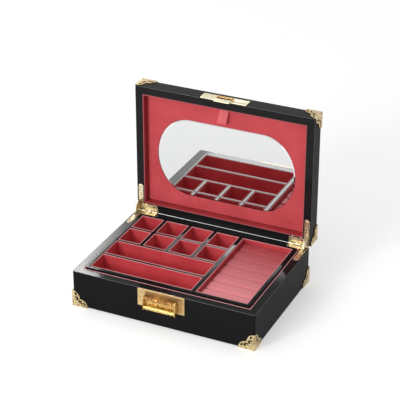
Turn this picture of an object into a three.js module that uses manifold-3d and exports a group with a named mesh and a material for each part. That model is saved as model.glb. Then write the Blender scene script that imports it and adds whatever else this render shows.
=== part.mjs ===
// Travel jewelry box: a black lacquered case with a red velvet inside, a lift-out tray,
// a mirror door in the lid, and brass corners, hinges and latch.
// Millimetres, +Z up, +Y to the back. The origin is the middle of the underside.

import * as THREE from 'three';
import { mergeVertices } from 'three/addons/utils/BufferGeometryUtils.js';
import Module from 'manifold-3d';

const wasm = await Module();
wasm.setup();

// Case
const case_width = 260;
const case_depth = 188;
const rim_height = 52.4; // top of the base above the table
const lid_depth = 23.8;
const lid_opening = Math.PI / 2; // how far the lid stands open
const case_wall = 10.5;
const case_round = 2; // radius of the upright edges
const bottom_board = 4;
const lid_top = 3;
const closed_gap = 0.4; // between the two rims when the lid is shut
const felt_thick = 1.2;
const felt_margin = 14;

// Gaps and cuts
const seat_gap = 0.3; // between pieces that touch
const overrun = 1; // how far a cut runs past the face that it opens

// Velvet linings of the two halves
const lining_thick = 1.3;

// Tray
const tray_clear = 1; // all round, so that it lifts out
const tray_stand = 2.6; // how far it stands above the rim
const tray_height = 24.5;
const tray_wall = 4.2;
const tray_floor = 2;
const column_divider = 4.2;
const row_divider = 3;
const main_divider = 5.4;
const ring_bay_width = 72.8;
const cell_columns = 4;
const cell_rows = 2;
const pocket_rows = 2;
const pocket_lining = 1.1;
const rest_width = 6;
const rest_length_share = 0.8;

// Ring cushion
const pad_recess = 5.8; // its top below the top of the tray
const pad_clear = 0.5;
const roll_count = 7;
const roll_round = 3.2;
const roll_crown = 0.6;
const slit_depth = 6.5;
const slit_width = 0.8;
const roll_end_round = 4;
const side_pull = 1; // how far the sides draw in at each slit

// Mirror door in the lid
const mirror_recess = 10; // from the lid's rim to the face of the door
const mirror_side_margin = 15.8; // door left beside the mirror
const mirror_front_margin = 28.8; // the tab hangs here
const mirror_back_margin = 18.8;
const mirror_end = 48; // length of each rounded end
const board_thick = 3;
const glass_set_back = 0.3;
const backing_thick = 0.8;
const backing_margin = 6;
const door_gap = 0.6;
const door_foot_gap = 1; // at the hinged edge
const door_pivot_up = 2.2; // pivot above the hinged edge
const pivot_radius = 0.7;
const pivot_in_board = 5;
const pivot_in_shell = 3;
const stop_width = 5;

// Pull tab, a folded ribbon
const tab_width = 15;
const tab_length = 22.4;
const tab_fold = 3.4; // thickness at the fold
const tab_root = 1.9; // thickness where it is sewn on
const ribbon_thick = 0.7;

// Brass corners
const corner_plate = 0.8;
const corner_leg = 21.8;
const corner_lobe = 10.3; // radius of each of the two lobes of the outline
const scroll_inner = 1.1;
const scroll_outer = 2.2;
const scroll_turn = 1.3 * Math.PI;
const drop_long = 2.5;
const drop_short = 1.2;
const scroll_centre_share = [0.43, 0.27]; // shares of corner_leg
const drop_centre_share = [0.71, 0.2]; // shares of corner_leg

// Lid hinges
const pivot_out = 1; // pin behind the back face
const barrel_radius = 1.8;
const hinge_pin_radius = 0.8;
const leaf_thick = 1.2;
const leaf_inset = 1.8; // from the side face to the leaf
const leaf_width = 7.5;
const leaf_length = 39.5; // along the side rim, from the back face
const leaf_reach = 31; // along the back rim, from the side face
const leaf_point = 1.8;
const leaf_point_shares = [0.22, 0.78]; // places of the two points along the back leg
const leaf_point_base = 2.6;
const barrel_clear = 0.4;
const quadrant_radius = 17;
const quadrant_thick = 1.6;
const quadrant_inset = 4; // from the side face to the middle of the plate
const quadrant_skin = 1; // wood left behind the slot
const quadrant_clear = 0.35;
const screw_head = 1.7;
const screw_head_thick = 0.5;
const screw_shank = 0.8;
const screw_length = 6;
const screw_sink = 0.1;

// Latch on the base
const plate_thick = 1.2;
const lock_width = 66.6;
const lock_height = 25.2;
const lock_drop = 0.2; // below the rim
const latch_out = 5.3; // pin in front of the case
const latch_drop = 10; // pin below the rim
const latch_barrel = 2.6;
const latch_pin_radius = 1;
const latch_pin_head = 0.5;
const knuckle_width = 19;
const knuckle_foot = 3.2;
const flap_width = 46;
const flap_length = 18; // from the pin to the free edge
const flap_web = 1.2;
const flap_cheek = 1.2;
const flap_round = 3.4; // radius of the cheeks around the pin
const flap_lip = 2; // height of the lip at the free edge
const grip_radius = 2.6;
const grip_waist = 1.9;
const grip_drop = 13.4; // from the pin to the grip
const grip_beads = 6;

// Strike plate on the lid
const strike_width = 66.6;
const strike_height = 14.4;
const tongue_width = 23;
const tongue_drop = 6; // past the rim of the base
const tongue_root_low = 2;
const tongue_root_high = 6;
const keeper_width = 22;
const keeper_radius = 3;
const keeper_thick = 1.1;
const keeper_rise = 8.6; // middle of the curl above the lid's rim
const keeper_turn = 0.83 * Math.PI;

// Smoothness of round shapes
const edge_steps = 2;
const lobe_steps = 4;
const hole_steps = 4;
const rod_sides = 14;
const mirror_steps = 12;
const bead_steps = 5;

// Heights and faces that several pieces share
const half_width = case_width / 2;
const half_depth = case_depth / 2;
const shell_bottom = felt_thick + seat_gap;
const lid_rim = rim_height + closed_gap;
const lid_height = lid_rim + lid_depth;
const inner_x = half_width - case_wall;
const inner_y = half_depth - case_wall;
const lined_x = inner_x - seat_gap - lining_thick;
const lined_y = inner_y - seat_gap - lining_thick;
const board_top = shell_bottom + bottom_board;
const base_floor = board_top + seat_gap + lining_thick;
const tray_x = lined_x - tray_clear;
const tray_y = lined_y - tray_clear;
const tray_top = rim_height + tray_stand;
const tray_bottom = tray_top - tray_height;
const hinge_y = half_depth + pivot_out;
const hinge_z = rim_height + closed_gap / 2;
const latch_y = -half_depth - latch_out;
const latch_z = rim_height - latch_drop;

const finishes = {
  lacquer: { color: 0x14161a, roughness: 0.12, metalness: 0 },
  velvet: { color: 0xb8404a, roughness: 0.95, metalness: 0 },
  brass: { color: 0xd9b268, roughness: 0.28, metalness: 1 },
  glass: { color: 0xe6ecec, roughness: 0.03, metalness: 1 },
  board: { color: 0x8a7358, roughness: 0.85, metalness: 0 },
  felt: { color: 0x1c1c1e, roughness: 1, metalness: 0 },
};

// Solids: closed meshes in, closed meshes out

function signedVolume(position, index) {
  const a = new THREE.Vector3();
  const b = new THREE.Vector3();
  const c = new THREE.Vector3();
  let sum = 0;
  for (let i = 0; i < index.length; i += 3) {
    a.fromBufferAttribute(position, index[i]);
    b.fromBufferAttribute(position, index[i + 1]);
    c.fromBufferAttribute(position, index[i + 2]);
    sum += a.dot(b.cross(c));
  }
  return sum;
}

function turnedOver(index) {
  const turned = Uint32Array.from(index);
  for (let i = 0; i < turned.length; i += 3) {
    [turned[i], turned[i + 1]] = [turned[i + 1], turned[i]];
  }
  return turned;
}

function solid(geometry) {
  const bare = geometry.clone();
  bare.deleteAttribute('normal');
  bare.deleteAttribute('uv');
  const merged = mergeVertices(bare);
  const position = merged.attributes.position;
  const inside_out = signedVolume(position, merged.index.array) < 0;
  const triangles = inside_out ? turnedOver(merged.index.array) : Uint32Array.from(merged.index.array);
  const mesh = new wasm.Mesh({
    numProp: 3,
    vertProperties: Float32Array.from(position.array),
    triVerts: triangles,
  });
  return new wasm.Manifold(mesh);
}

function geometryOf(body) {
  const mesh = body.getMesh();
  const geometry = new THREE.BufferGeometry();
  geometry.setAttribute('position', new THREE.BufferAttribute(mesh.vertProperties, 3));
  geometry.setIndex(new THREE.BufferAttribute(mesh.triVerts, 1));
  return geometry;
}

function joined(...geometries) {
  return geometryOf(geometries.map(solid).reduce((whole, part) => whole.add(part)));
}

function cutFrom(geometry, ...tools) {
  return geometryOf(tools.map(solid).reduce((rest, tool) => rest.subtract(tool), solid(geometry)));
}

// Shapes in the case's own directions

function block(x, y, z) {
  const sizes = [x, y, z].map(([low, high]) => high - low);
  const middles = [x, y, z].map(([low, high]) => (low + high) / 2);
  return new THREE.BoxGeometry(...sizes).translate(...middles);
}

function around(middle, size) {
  return [middle - size / 2, middle + size / 2];
}

// A range on one side of the box: side is 1 on the right and -1 on the left.
function sided(side, near, far) {
  return side > 0 ? [near, far] : [-far, -near];
}

function prism(shape, z, steps) {
  const settings = { depth: z[1] - z[0], bevelEnabled: false, curveSegments: steps };
  return new THREE.ExtrudeGeometry(shape, settings).translate(0, 0, z[0]);
}

// The shape is drawn in y and z, and runs along x.
function profileAlongX(shape, x, steps) {
  const turn = new THREE.Matrix4().makeBasis(
    new THREE.Vector3(0, 1, 0),
    new THREE.Vector3(0, 0, 1),
    new THREE.Vector3(1, 0, 0),
  );
  return prism(shape, x, steps).applyMatrix4(turn);
}

function rodAlongX(radius, x, y, z) {
  const rod = new THREE.CylinderGeometry(radius, radius, x[1] - x[0], rod_sides);
  return rod.rotateZ(Math.PI / 2).translate((x[0] + x[1]) / 2, y, z);
}

function rodAlongZ(radius, x, y, z) {
  const rod = new THREE.CylinderGeometry(radius, radius, z[1] - z[0], rod_sides);
  return rod.rotateX(Math.PI / 2).translate(x, y, (z[0] + z[1]) / 2);
}

function polygon(points) {
  return new THREE.Shape(points.map(([a, b]) => new THREE.Vector2(a, b)));
}

function roundedRectangle(half_x, half_y, radius) {
  const shape = new THREE.Shape();
  shape.absarc(half_x - radius, half_y - radius, radius, 0, Math.PI / 2);
  shape.absarc(radius - half_x, half_y - radius, radius, Math.PI / 2, Math.PI);
  shape.absarc(radius - half_x, radius - half_y, radius, Math.PI, 1.5 * Math.PI);
  shape.absarc(half_x - radius, radius - half_y, radius, 1.5 * Math.PI, 2 * Math.PI);
  return shape;
}

// An open box: walls of one thickness round a floor, with its mouth up or down.
function openBox(half_x, half_y, z, wall, floor, mouth_up) {
  const hollow_z = mouth_up ? [z[0] + floor, z[1] + overrun] : [z[0] - overrun, z[1] - floor];
  const whole = block([-half_x, half_x], [-half_y, half_y], z);
  const hollow_x = half_x - wall;
  const hollow_y = half_y - wall;
  return cutFrom(whole, block([-hollow_x, hollow_x], [-hollow_y, hollow_y], hollow_z));
}

function mirrored(geometry, scale) {
  const copy = geometry.clone().scale(...scale);
  return geometryOf(solid(copy));
}

// Nodes

function addPiece(group, name, geometry, finish) {
  const mesh = new THREE.Mesh(geometry, new THREE.MeshStandardMaterial(finishes[finish]));
  mesh.name = name;
  group.add(mesh);
}

const sides = { left: -1, right: 1 };
const ends = { front: -1, back: 1 };

// Hinge parts, drawn with the lid shut

const leaf_out_x = half_width - leaf_inset;
const leaf_in_x = leaf_out_x - leaf_width;
const leaf_end_x = half_width - leaf_reach;
const leaf_back_y = hinge_y - barrel_radius - 2 * seat_gap;
const leaf_in_y = leaf_back_y - leaf_width;
const leaf_tip_y = half_depth - leaf_length;
const leaf_round = leaf_width / 2;
const screw_x = (leaf_in_x + leaf_out_x) / 2;
const screw_y = leaf_tip_y + leaf_round;
const quadrant_x = half_width - quadrant_inset;
const quadrant_back_y = half_depth - quadrant_skin - quadrant_clear;

function leafOutline() {
  const run = leaf_in_x - leaf_end_x;
  const shape = new THREE.Shape();
  shape.moveTo(leaf_end_x, leaf_back_y);
  for (const share of leaf_point_shares) {
    const tip_x = leaf_end_x + share * run;
    if (share === leaf_point_shares[0]) shape.lineTo(leaf_end_x, leaf_in_y);
    shape.lineTo(tip_x - leaf_point_base, leaf_in_y);
    shape.lineTo(tip_x, leaf_in_y - leaf_point);
    shape.lineTo(tip_x + leaf_point_base, leaf_in_y);
  }
  shape.lineTo(leaf_in_x, leaf_in_y);
  shape.lineTo(leaf_in_x, screw_y);
  shape.absarc(screw_x, screw_y, leaf_round, Math.PI, 2 * Math.PI);
  shape.lineTo(leaf_out_x, leaf_back_y);
  return shape;
}

// The three knuckles share the back leg: the outer two are the base's, the middle one the lid's.
function knuckleRanges() {
  const third = (leaf_out_x - leaf_end_x) / 3;
  const starts = [0, 1, 2].map((n) => leaf_end_x + n * third);
  return starts.map((x) => [x, x + third - seat_gap]);
}

// outward is 1 where the leaf shows its upper face, and -1 where it shows its lower one.
function hingeLeaf(plate_z, knuckles, outward) {
  const flat = prism(leafOutline(), plate_z, edge_steps);
  const barrels = knuckles.flatMap((x) => [
    rodAlongX(barrel_radius, x, hinge_y, hinge_z),
    block(x, [leaf_back_y - seat_gap, hinge_y], plate_z),
  ]);
  const bore_x = [leaf_end_x - overrun, leaf_out_x + overrun];
  const bore = rodAlongX(hinge_pin_radius + seat_gap, bore_x, hinge_y, hinge_z);
  const through_z = [plate_z[0] - overrun, plate_z[1] + overrun];
  const face_z = outward > 0 ? plate_z[1] : plate_z[0];
  const sink_z = face_z - outward * (screw_sink + screw_head_thick + seat_gap);
  const open_z = face_z + outward * overrun;
  const head_z = [Math.min(sink_z, open_z), Math.max(sink_z, open_z)];
  return cutFrom(
    joined(flat, ...barrels),
    bore,
    rodAlongZ(screw_shank + seat_gap, screw_x, screw_y, through_z),
    rodAlongZ(screw_head + seat_gap, screw_x, screw_y, head_z),
  );
}

// The stop plate is a quarter disc round the pin, cut back so that it stays inside the case.
function quadrantPlate() {
  const back = hinge_y - quadrant_back_y;
  const join_z = lid_rim + leaf_thick / 2;
  const rise = join_z - hinge_z;
  const shape = new THREE.Shape();
  shape.moveTo(quadrant_back_y, join_z);
  const start = Math.PI - Math.asin(rise / quadrant_radius);
  const end = 1.5 * Math.PI - Math.asin(back / quadrant_radius);
  shape.absarc(hinge_y, hinge_z, quadrant_radius, start, end);
  return profileAlongX(shape, around(quadrant_x, quadrant_thick), lobe_steps);
}

function quadrantSlot() {
  const reach = quadrant_radius + quadrant_clear;
  return block(
    around(quadrant_x, quadrant_thick + 2 * quadrant_clear),
    [hinge_y - reach, quadrant_back_y + quadrant_clear],
    [hinge_z - reach, rim_height + overrun],
  );
}

function baseLeaf(side) {
  const knuckles = knuckleRanges().filter((_, n) => n !== 1);
  const leaf = hingeLeaf([rim_height - leaf_thick, rim_height], knuckles, 1);
  return mirrored(cutFrom(leaf, quadrantSlot()), [side, 1, 1]);
}

function lidLeaf(side) {
  const leaf = hingeLeaf([lid_rim, lid_rim + leaf_thick], [knuckleRanges()[1]], -1);
  return mirrored(joined(leaf, quadrantPlate()), [side, 1, 1]);
}

function hingePin(side) {
  return rodAlongX(hinge_pin_radius, sided(side, leaf_end_x, leaf_out_x), hinge_y, hinge_z);
}

// Head up on the base and head down on the lid; outward is 1 or -1 along z.
function hingeScrew(side, face_z, outward) {
  const top = -screw_sink;
  const under = top - screw_head_thick;
  const outline = [
    [0, under - screw_length],
    [screw_shank, under - screw_length],
    [screw_shank, under],
    [screw_head, under],
    [screw_head, top],
    [0, top],
  ].map(([r, h]) => new THREE.Vector2(r, h));
  const screw = new THREE.LatheGeometry(outline, rod_sides).rotateX(Math.PI / 2);
  return mirrored(screw, [1, 1, outward]).translate(side * screw_x, screw_y, face_z);
}

// What the hinges need cut out of a shell whose rim lies at rim_z, with wood on the inward side.
function hingeCuts(rim_z, inward) {
  const pocket_z = [rim_z - inward * overrun, rim_z + inward * (leaf_thick + seat_gap)];
  const low_high = pocket_z[0] < pocket_z[1] ? pocket_z : [pocket_z[1], pocket_z[0]];
  const pilot = rim_z + inward * (leaf_thick + screw_length + overrun);
  const pilot_z = pilot < rim_z ? [pilot, rim_z] : [rim_z, pilot];
  return Object.values(sides).flatMap((side) => [
    block(
      sided(side, leaf_in_x - seat_gap, leaf_out_x + seat_gap),
      [leaf_tip_y - seat_gap, half_depth + overrun],
      low_high,
    ),
    block(
      sided(side, leaf_end_x - seat_gap, leaf_out_x + seat_gap),
      [leaf_in_y - leaf_point - seat_gap, half_depth + overrun],
      low_high,
    ),
    rodAlongX(
      barrel_radius + barrel_clear,
      sided(side, leaf_end_x - seat_gap, leaf_out_x + seat_gap),
      hinge_y,
      hinge_z,
    ),
    rodAlongZ(screw_shank + seat_gap, side * screw_x, screw_y, pilot_z),
  ]);
}

// Case, base half

function baseShell() {
  const ring = prism(
    roundedRectangle(half_width, half_depth, case_round),
    [shell_bottom, rim_height],
    edge_steps,
  );
  const hollow_z = [shell_bottom - overrun, rim_height + overrun];
  const hollow = block([-inner_x, inner_x], [-inner_y, inner_y], hollow_z);
  const slots = Object.values(sides).map((side) => mirrored(quadrantSlot(), [side, 1, 1]));
  return cutFrom(ring, hollow, ...hingeCuts(rim_height, -1), ...slots);
}

function baseLining() {
  const half_x = inner_x - seat_gap;
  const half_y = inner_y - seat_gap;
  const z = [board_top + seat_gap, rim_height];
  return openBox(half_x, half_y, z, lining_thick, lining_thick, true);
}

function bottomBoard() {
  const half_x = inner_x - seat_gap;
  const half_y = inner_y - seat_gap;
  return block([-half_x, half_x], [-half_y, half_y], [shell_bottom, board_top]);
}

function undersideFelt() {
  const half_x = half_width - felt_margin;
  const half_y = half_depth - felt_margin;
  return prism(roundedRectangle(half_x, half_y, case_round), [0, felt_thick], edge_steps);
}

// A velvet covered strip along each side, which carries the tray.
function trayRest(side) {
  const far = lined_x - seat_gap;
  const half_y = rest_length_share * lined_y;
  const z = [base_floor + seat_gap, tray_bottom - seat_gap];
  return block(sided(side, far - rest_width, far), [-half_y, half_y], z);
}

// Brass corner: three pierced plates that meet at the corner of the case, drawn with that
// corner at the origin and the case on the positive side of all three planes.

function scrollHole(centre, start) {
  const hole = new THREE.Path();
  hole.absarc(centre[0], centre[1], scroll_outer, start, start + scroll_turn);
  hole.absarc(centre[0], centre[1], scroll_inner, start + scroll_turn, start, true);
  return hole;
}

function dropHole(centre, tilt) {
  const hole = new THREE.Path();
  hole.absellipse(centre[0], centre[1], drop_long, drop_short, 0, 2 * Math.PI, false, tilt);
  return hole;
}

function cornerOutline() {
  const edge = seat_gap + corner_plate;
  const centre = corner_leg - corner_lobe;
  const waist = (centre + Math.sqrt(2 * corner_lobe ** 2 - centre ** 2)) / 2;
  const waist_angle = Math.atan2(waist, waist - centre);
  const shape = new THREE.Shape();
  shape.moveTo(-edge, -edge);
  shape.lineTo(corner_leg, -edge);
  shape.absarc(centre, 0, corner_lobe, 0, waist_angle);
  shape.absarc(0, centre, corner_lobe, Math.PI / 2 - waist_angle, Math.PI / 2);
  shape.lineTo(-edge, corner_leg);
  const [scroll_u, scroll_v] = scroll_centre_share.map((share) => share * corner_leg);
  const [drop_u, drop_v] = drop_centre_share.map((share) => share * corner_leg);
  const tilt = Math.PI / 12;
  const opening = scroll_turn / 2;
  shape.holes.push(scrollHole([scroll_u, scroll_v], Math.PI / 3 - opening));
  shape.holes.push(scrollHole([scroll_v, scroll_u], Math.PI / 6 - opening));
  shape.holes.push(dropHole([drop_u, drop_v], -tilt));
  shape.holes.push(dropHole([drop_v, drop_u], Math.PI / 2 + tilt));
  return shape;
}

function cornerPiece() {
  const plate_z = [-seat_gap - corner_plate, -seat_gap];
  const flat = prism(cornerOutline(), plate_z, hole_steps);
  const x = new THREE.Vector3(1, 0, 0);
  const y = new THREE.Vector3(0, 1, 0);
  const z = new THREE.Vector3(0, 0, 1);
  const upright = flat.clone().applyMatrix4(new THREE.Matrix4().makeBasis(y, z, x));
  const across = flat.clone().applyMatrix4(new THREE.Matrix4().makeBasis(z, x, y));
  return joined(flat, upright, across);
}

function addCorners(group, half, face_z, inward_z) {
  const corner = cornerPiece();
  for (const [end_name, end] of Object.entries(ends)) {
    for (const [side_name, side] of Object.entries(sides)) {
      const placed = mirrored(corner, [-side, -end, inward_z]);
      placed.translate(side * half_width, end * half_depth, face_z);
      addPiece(group, `${half}_corner_${end_name}_${side_name}`, placed, 'brass');
    }
  }
}

// Latch on the front of the base. Faces are given by how far they stand out from the case.

function outY(low_out, high_out) {
  return [-half_depth - high_out, -half_depth - low_out];
}

const plate_face = seat_gap + plate_thick;
const web_back = plate_face + seat_gap;
const web_face = web_back + flap_web;

function lockPlate() {
  const top = rim_height - lock_drop;
  const plate = block(around(0, lock_width), outY(seat_gap, plate_face), [top - lock_height, top]);
  const knuckle_x = around(0, knuckle_width);
  const knuckle = rodAlongX(latch_barrel, knuckle_x, latch_y, latch_z);
  const foot = block(knuckle_x, outY(seat_gap, latch_out), around(latch_z, knuckle_foot));
  const bore = rodAlongX(latch_pin_radius + seat_gap, around(0, flap_width), latch_y, latch_z);
  return cutFrom(joined(plate, knuckle, foot), bore);
}

function cheekOutline() {
  const shape = new THREE.Shape();
  const low = latch_z - flap_length;
  shape.moveTo(latch_y + flap_round, low);
  shape.absarc(latch_y, latch_z, flap_round, 0, Math.PI);
  shape.lineTo(latch_y - flap_round, low);
  return shape;
}

function latchFlap() {
  const low = latch_z - flap_length;
  const half = flap_width / 2;
  const web = block([-half, half], outY(web_back, web_face), [low, latch_z]);
  const lip = block([-half, half], outY(web_back, web_face + flap_lip), [low, low + flap_web]);
  const inner = knuckle_width / 2 + seat_gap;
  const parts = Object.values(sides).flatMap((side) => [
    profileAlongX(cheekOutline(), sided(side, half - flap_cheek, half), lobe_steps),
    rodAlongX(latch_barrel, sided(side, inner, half), latch_y, latch_z),
  ]);
  const bore_x = around(0, flap_width + overrun);
  const bore = rodAlongX(latch_pin_radius + seat_gap, bore_x, latch_y, latch_z);
  const window_z = [latch_z - latch_barrel - 2 * seat_gap, latch_z + overrun];
  const window_y = outY(web_back - overrun, web_face + overrun);
  const window_for_knuckle = block([-inner, inner], window_y, window_z);
  return cutFrom(joined(web, lip, ...parts), window_for_knuckle, bore);
}

function latchPin() {
  const x = around(0, flap_width + 2 * latch_pin_head);
  return rodAlongX(latch_pin_radius, x, latch_y, latch_z);
}

function gripBar() {
  const half = flap_width / 2 - flap_cheek - seat_gap;
  const bead = (2 * half) / grip_beads;
  const outline = [[0, -half]];
  for (let n = 0; n < grip_beads; n += 1) {
    for (let step = 0; step < bead_steps; step += 1) {
      const share = step / bead_steps;
      const swell = Math.sin(Math.PI * share) * (grip_radius - grip_waist);
      outline.push([grip_waist + swell, -half + (n + share) * bead]);
    }
  }
  outline.push([grip_waist, half], [0, half]);
  const points = outline.map(([r, h]) => new THREE.Vector2(r, h));
  const bar = new THREE.LatheGeometry(points, rod_sides).rotateZ(Math.PI / 2);
  const out = web_face + seat_gap + grip_radius;
  return geometryOf(solid(bar)).translate(0, -half_depth - out, latch_z - grip_drop);
}

// Strike plate on the front of the lid, with its tongue and its curled keeper

function strikePlate() {
  const plate = block(
    around(0, strike_width),
    outY(seat_gap, plate_face),
    [lid_rim, lid_rim + strike_height],
  );
  const tongue_x = around(0, tongue_width);
  const root = block(
    tongue_x,
    outY(seat_gap, web_face),
    [lid_rim + tongue_root_low, lid_rim + tongue_root_high],
  );
  const tongue = block(
    tongue_x,
    outY(web_back, web_face),
    [rim_height - tongue_drop, lid_rim + tongue_root_high],
  );
  const curl = new THREE.Shape();
  const curl_y = -half_depth - plate_face + seat_gap;
  const curl_z = lid_rim + keeper_rise;
  const start = Math.PI / 2;
  const inner_radius = keeper_radius - keeper_thick;
  curl.absarc(curl_y, curl_z, keeper_radius, start, start + keeper_turn);
  curl.absarc(curl_y, curl_z, inner_radius, start + keeper_turn, start, true);
  const keeper = profileAlongX(curl, around(0, keeper_width), lobe_steps);
  return joined(plate, root, tongue, keeper);
}

// Tray

const bay_x = tray_x - tray_wall;
const bay_y = tray_y - tray_wall;
const main_x = [bay_x - ring_bay_width - main_divider, bay_x - ring_bay_width];
const column_pitch = (main_x[0] + bay_x + column_divider) / cell_columns;
const tray_rows = cell_rows + pocket_rows;
const row_pitch = (2 * bay_y + row_divider) / tray_rows;
const floor_top = tray_bottom + tray_floor;

function columnRange(n) {
  const start = -bay_x + n * column_pitch;
  return [start, start + column_pitch - column_divider];
}

// Rows are counted from the back.
function rowRange(n) {
  const start = bay_y - n * row_pitch;
  return [start - row_pitch + row_divider, start];
}

function trayFrame() {
  const z = [tray_bottom, tray_top];
  const ring = prism(roundedRectangle(tray_x, tray_y, case_round), z, edge_steps);
  const hollow_z = [tray_bottom - overrun, tray_top + overrun];
  return cutFrom(ring, block([-bay_x, bay_x], [-bay_y, bay_y], hollow_z));
}

const divider_z = [floor_top + seat_gap, tray_top];
const lap_z = (divider_z[0] + divider_z[1]) / 2;

function trayFloor() {
  const half_x = bay_x - seat_gap;
  const half_y = bay_y - seat_gap;
  return block([-half_x, half_x], [-half_y, half_y], [tray_bottom, floor_top]);
}

function mainDivider() {
  return block(main_x, [seat_gap - bay_y, bay_y - seat_gap], divider_z);
}

function rowDivider(n) {
  const y = [rowRange(n + 1)[1], rowRange(n)[0]];
  const board = block([seat_gap - bay_x, main_x[0] - seat_gap], y, divider_z);
  if (n >= cell_rows - 1) return board;
  const laps = columnDividerRanges().map(([low, high]) =>
    block([low - seat_gap, high + seat_gap], [y[0] - overrun, y[1] + overrun],
      [lap_z - seat_gap, tray_top + overrun]));
  return cutFrom(board, ...laps);
}

function columnDividerRanges() {
  const gaps = Array.from({ length: cell_columns - 1 }, (_, n) => n);
  return gaps.map((n) => [columnRange(n)[1], columnRange(n + 1)[0]]);
}

function columnDivider(n) {
  const x = columnDividerRanges()[n];
  const y = [rowRange(cell_rows - 1)[0] + seat_gap, bay_y - seat_gap];
  const board = block(x, y, divider_z);
  const laps = Array.from({ length: cell_rows - 1 }, (_, row) =>
    block([x[0] - overrun, x[1] + overrun],
      [rowRange(row + 1)[1] - seat_gap, rowRange(row)[0] + seat_gap],
      [divider_z[0] - overrun, lap_z]));
  return cutFrom(board, ...laps);
}

function pocketLining(x, y) {
  const half_x = (x[1] - x[0]) / 2 - seat_gap;
  const half_y = (y[1] - y[0]) / 2 - seat_gap;
  const z = [floor_top + seat_gap, tray_top];
  const box = openBox(half_x, half_y, z, pocket_lining, pocket_lining, true);
  return box.translate((x[0] + x[1]) / 2, (y[0] + y[1]) / 2, 0);
}

// Ring cushion: rolls side by side, with a slit between each two

const pad_x = [main_x[1] + seat_gap + pocket_lining + pad_clear, bay_x - seat_gap - pocket_lining - pad_clear];
const pad_y = bay_y - seat_gap - pocket_lining - pad_clear;
const pad_z = [floor_top + seat_gap + pocket_lining + seat_gap, tray_top - pad_recess];

function roundedDrop(distance, radius) {
  return distance >= radius ? 0 : radius - Math.sqrt(radius ** 2 - (radius - distance) ** 2);
}

// Places across one roll, from one slit to the next, and how deep the surface lies there
function rollSteps(pitch) {
  const near = [slit_width / 2, roll_round * 0.35, roll_round * 0.75];
  const far = near.map((d) => pitch - d).reverse();
  return [...near, pitch / 2, ...far];
}

function padRows() {
  const pitch = (2 * pad_y) / roll_count;
  const rows = [{ y: -pad_y, drop: roll_round, pull: side_pull }];
  for (let roll = 0; roll < roll_count; roll += 1) {
    const start = -pad_y + roll * pitch;
    for (const d of rollSteps(pitch)) {
      const edge = Math.min(d, pitch - d);
      const swell = Math.sin((Math.PI * d) / pitch);
      const drop = roundedDrop(edge, roll_round) - roll_crown * swell;
      rows.push({ y: start + d, drop, pull: side_pull * (1 - Math.sqrt(swell)) });
    }
    const last = roll === roll_count - 1;
    rows.push({ y: start + pitch, drop: last ? roll_round : slit_depth, pull: side_pull });
  }
  return rows;
}

function ringPad() {
  const half = (pad_x[1] - pad_x[0]) / 2;
  const middle = (pad_x[0] + pad_x[1]) / 2;
  const steps = [0, 0.15, 0.5, 1].map((share) => share * roll_end_round);
  const columns = [...steps.map((d) => -half + d), 0, ...steps.map((d) => half - d).reverse()];
  const rows = padRows();
  const top = pad_z[1] - roll_crown;
  const points = [];
  for (const row of rows) {
    for (const column of columns) {
      const end_drop = roundedDrop(half - Math.abs(column), roll_end_round);
      const x = middle + column * (1 - row.pull / half);
      points.push([x, row.y, top - row.drop - end_drop]);
    }
  }
  const across = columns.length;
  const at = (row, column) => row * across + column;
  const triangles = [];
  for (let row = 0; row + 1 < rows.length; row += 1) {
    for (let column = 0; column + 1 < across; column += 1) {
      const [a, b] = [at(row, column), at(row, column + 1)];
      const [c, d] = [at(row + 1, column), at(row + 1, column + 1)];
      triangles.push([a, b, d], [a, d, c]);
    }
  }
  const rim = [];
  for (let column = 0; column < across; column += 1) rim.push(at(0, column));
  for (let row = 1; row < rows.length; row += 1) rim.push(at(row, across - 1));
  for (let column = across - 2; column >= 0; column -= 1) rim.push(at(rows.length - 1, column));
  for (let row = rows.length - 2; row > 0; row -= 1) rim.push(at(row, 0));
  const low = points.length;
  for (const n of rim) points.push([points[n][0], points[n][1], pad_z[0]]);
  rim.forEach((n, k) => {
    const next = (k + 1) % rim.length;
    triangles.push([n, low + k, low + next], [n, low + next, rim[next]]);
  });
  const outline = rim.map((n) => new THREE.Vector2(points[n][0], points[n][1]));
  for (const [a, b, c] of THREE.ShapeUtils.triangulateShape(outline, [])) {
    triangles.push([low + a, low + c, low + b]);
  }
  const geometry = new THREE.BufferGeometry();
  geometry.setAttribute('position', new THREE.Float32BufferAttribute(points.flat(), 3));
  geometry.setIndex(triangles.flat());
  return geometryOf(solid(geometry));
}

// Lid, drawn shut

const ceiling = lid_height - lid_top;
const ceiling_lined = ceiling - seat_gap - lining_thick;
const door_face = lid_rim + mirror_recess;
const board_back = door_face + board_thick;
const backing_back = board_back + seat_gap + backing_thick;
const door_x = lined_x - door_gap;
const door_front = door_gap - lined_y;
const door_back = lined_y - door_foot_gap;
const pivot_y = door_back - door_pivot_up;
const pivot_z = door_face + board_thick / 2;
const mirror_x = door_x - mirror_side_margin;
const mirror_front = door_front + mirror_front_margin;
const mirror_back = door_back - mirror_back_margin;

function lidShell() {
  const outline = roundedRectangle(half_width, half_depth, case_round);
  const whole = prism(outline, [lid_rim, lid_height], edge_steps);
  const hollow = block([-inner_x, inner_x], [-inner_y, inner_y], [lid_rim - overrun, ceiling]);
  const sockets = Object.values(sides).map((side) =>
    rodAlongX(pivot_radius + seat_gap, sided(side, inner_x - overrun, inner_x + pivot_in_shell + seat_gap),
      pivot_y, pivot_z));
  return cutFrom(whole, hollow, ...hingeCuts(lid_rim, 1), ...sockets);
}

function lidLining() {
  const half_x = inner_x - seat_gap;
  const half_y = inner_y - seat_gap;
  const z = [lid_rim, ceiling - seat_gap];
  const lining = openBox(half_x, half_y, z, lining_thick, lining_thick, false);
  const bore_x = around(0, case_width);
  return cutFrom(lining, rodAlongX(pivot_radius + seat_gap, bore_x, pivot_y, pivot_z));
}

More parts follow.
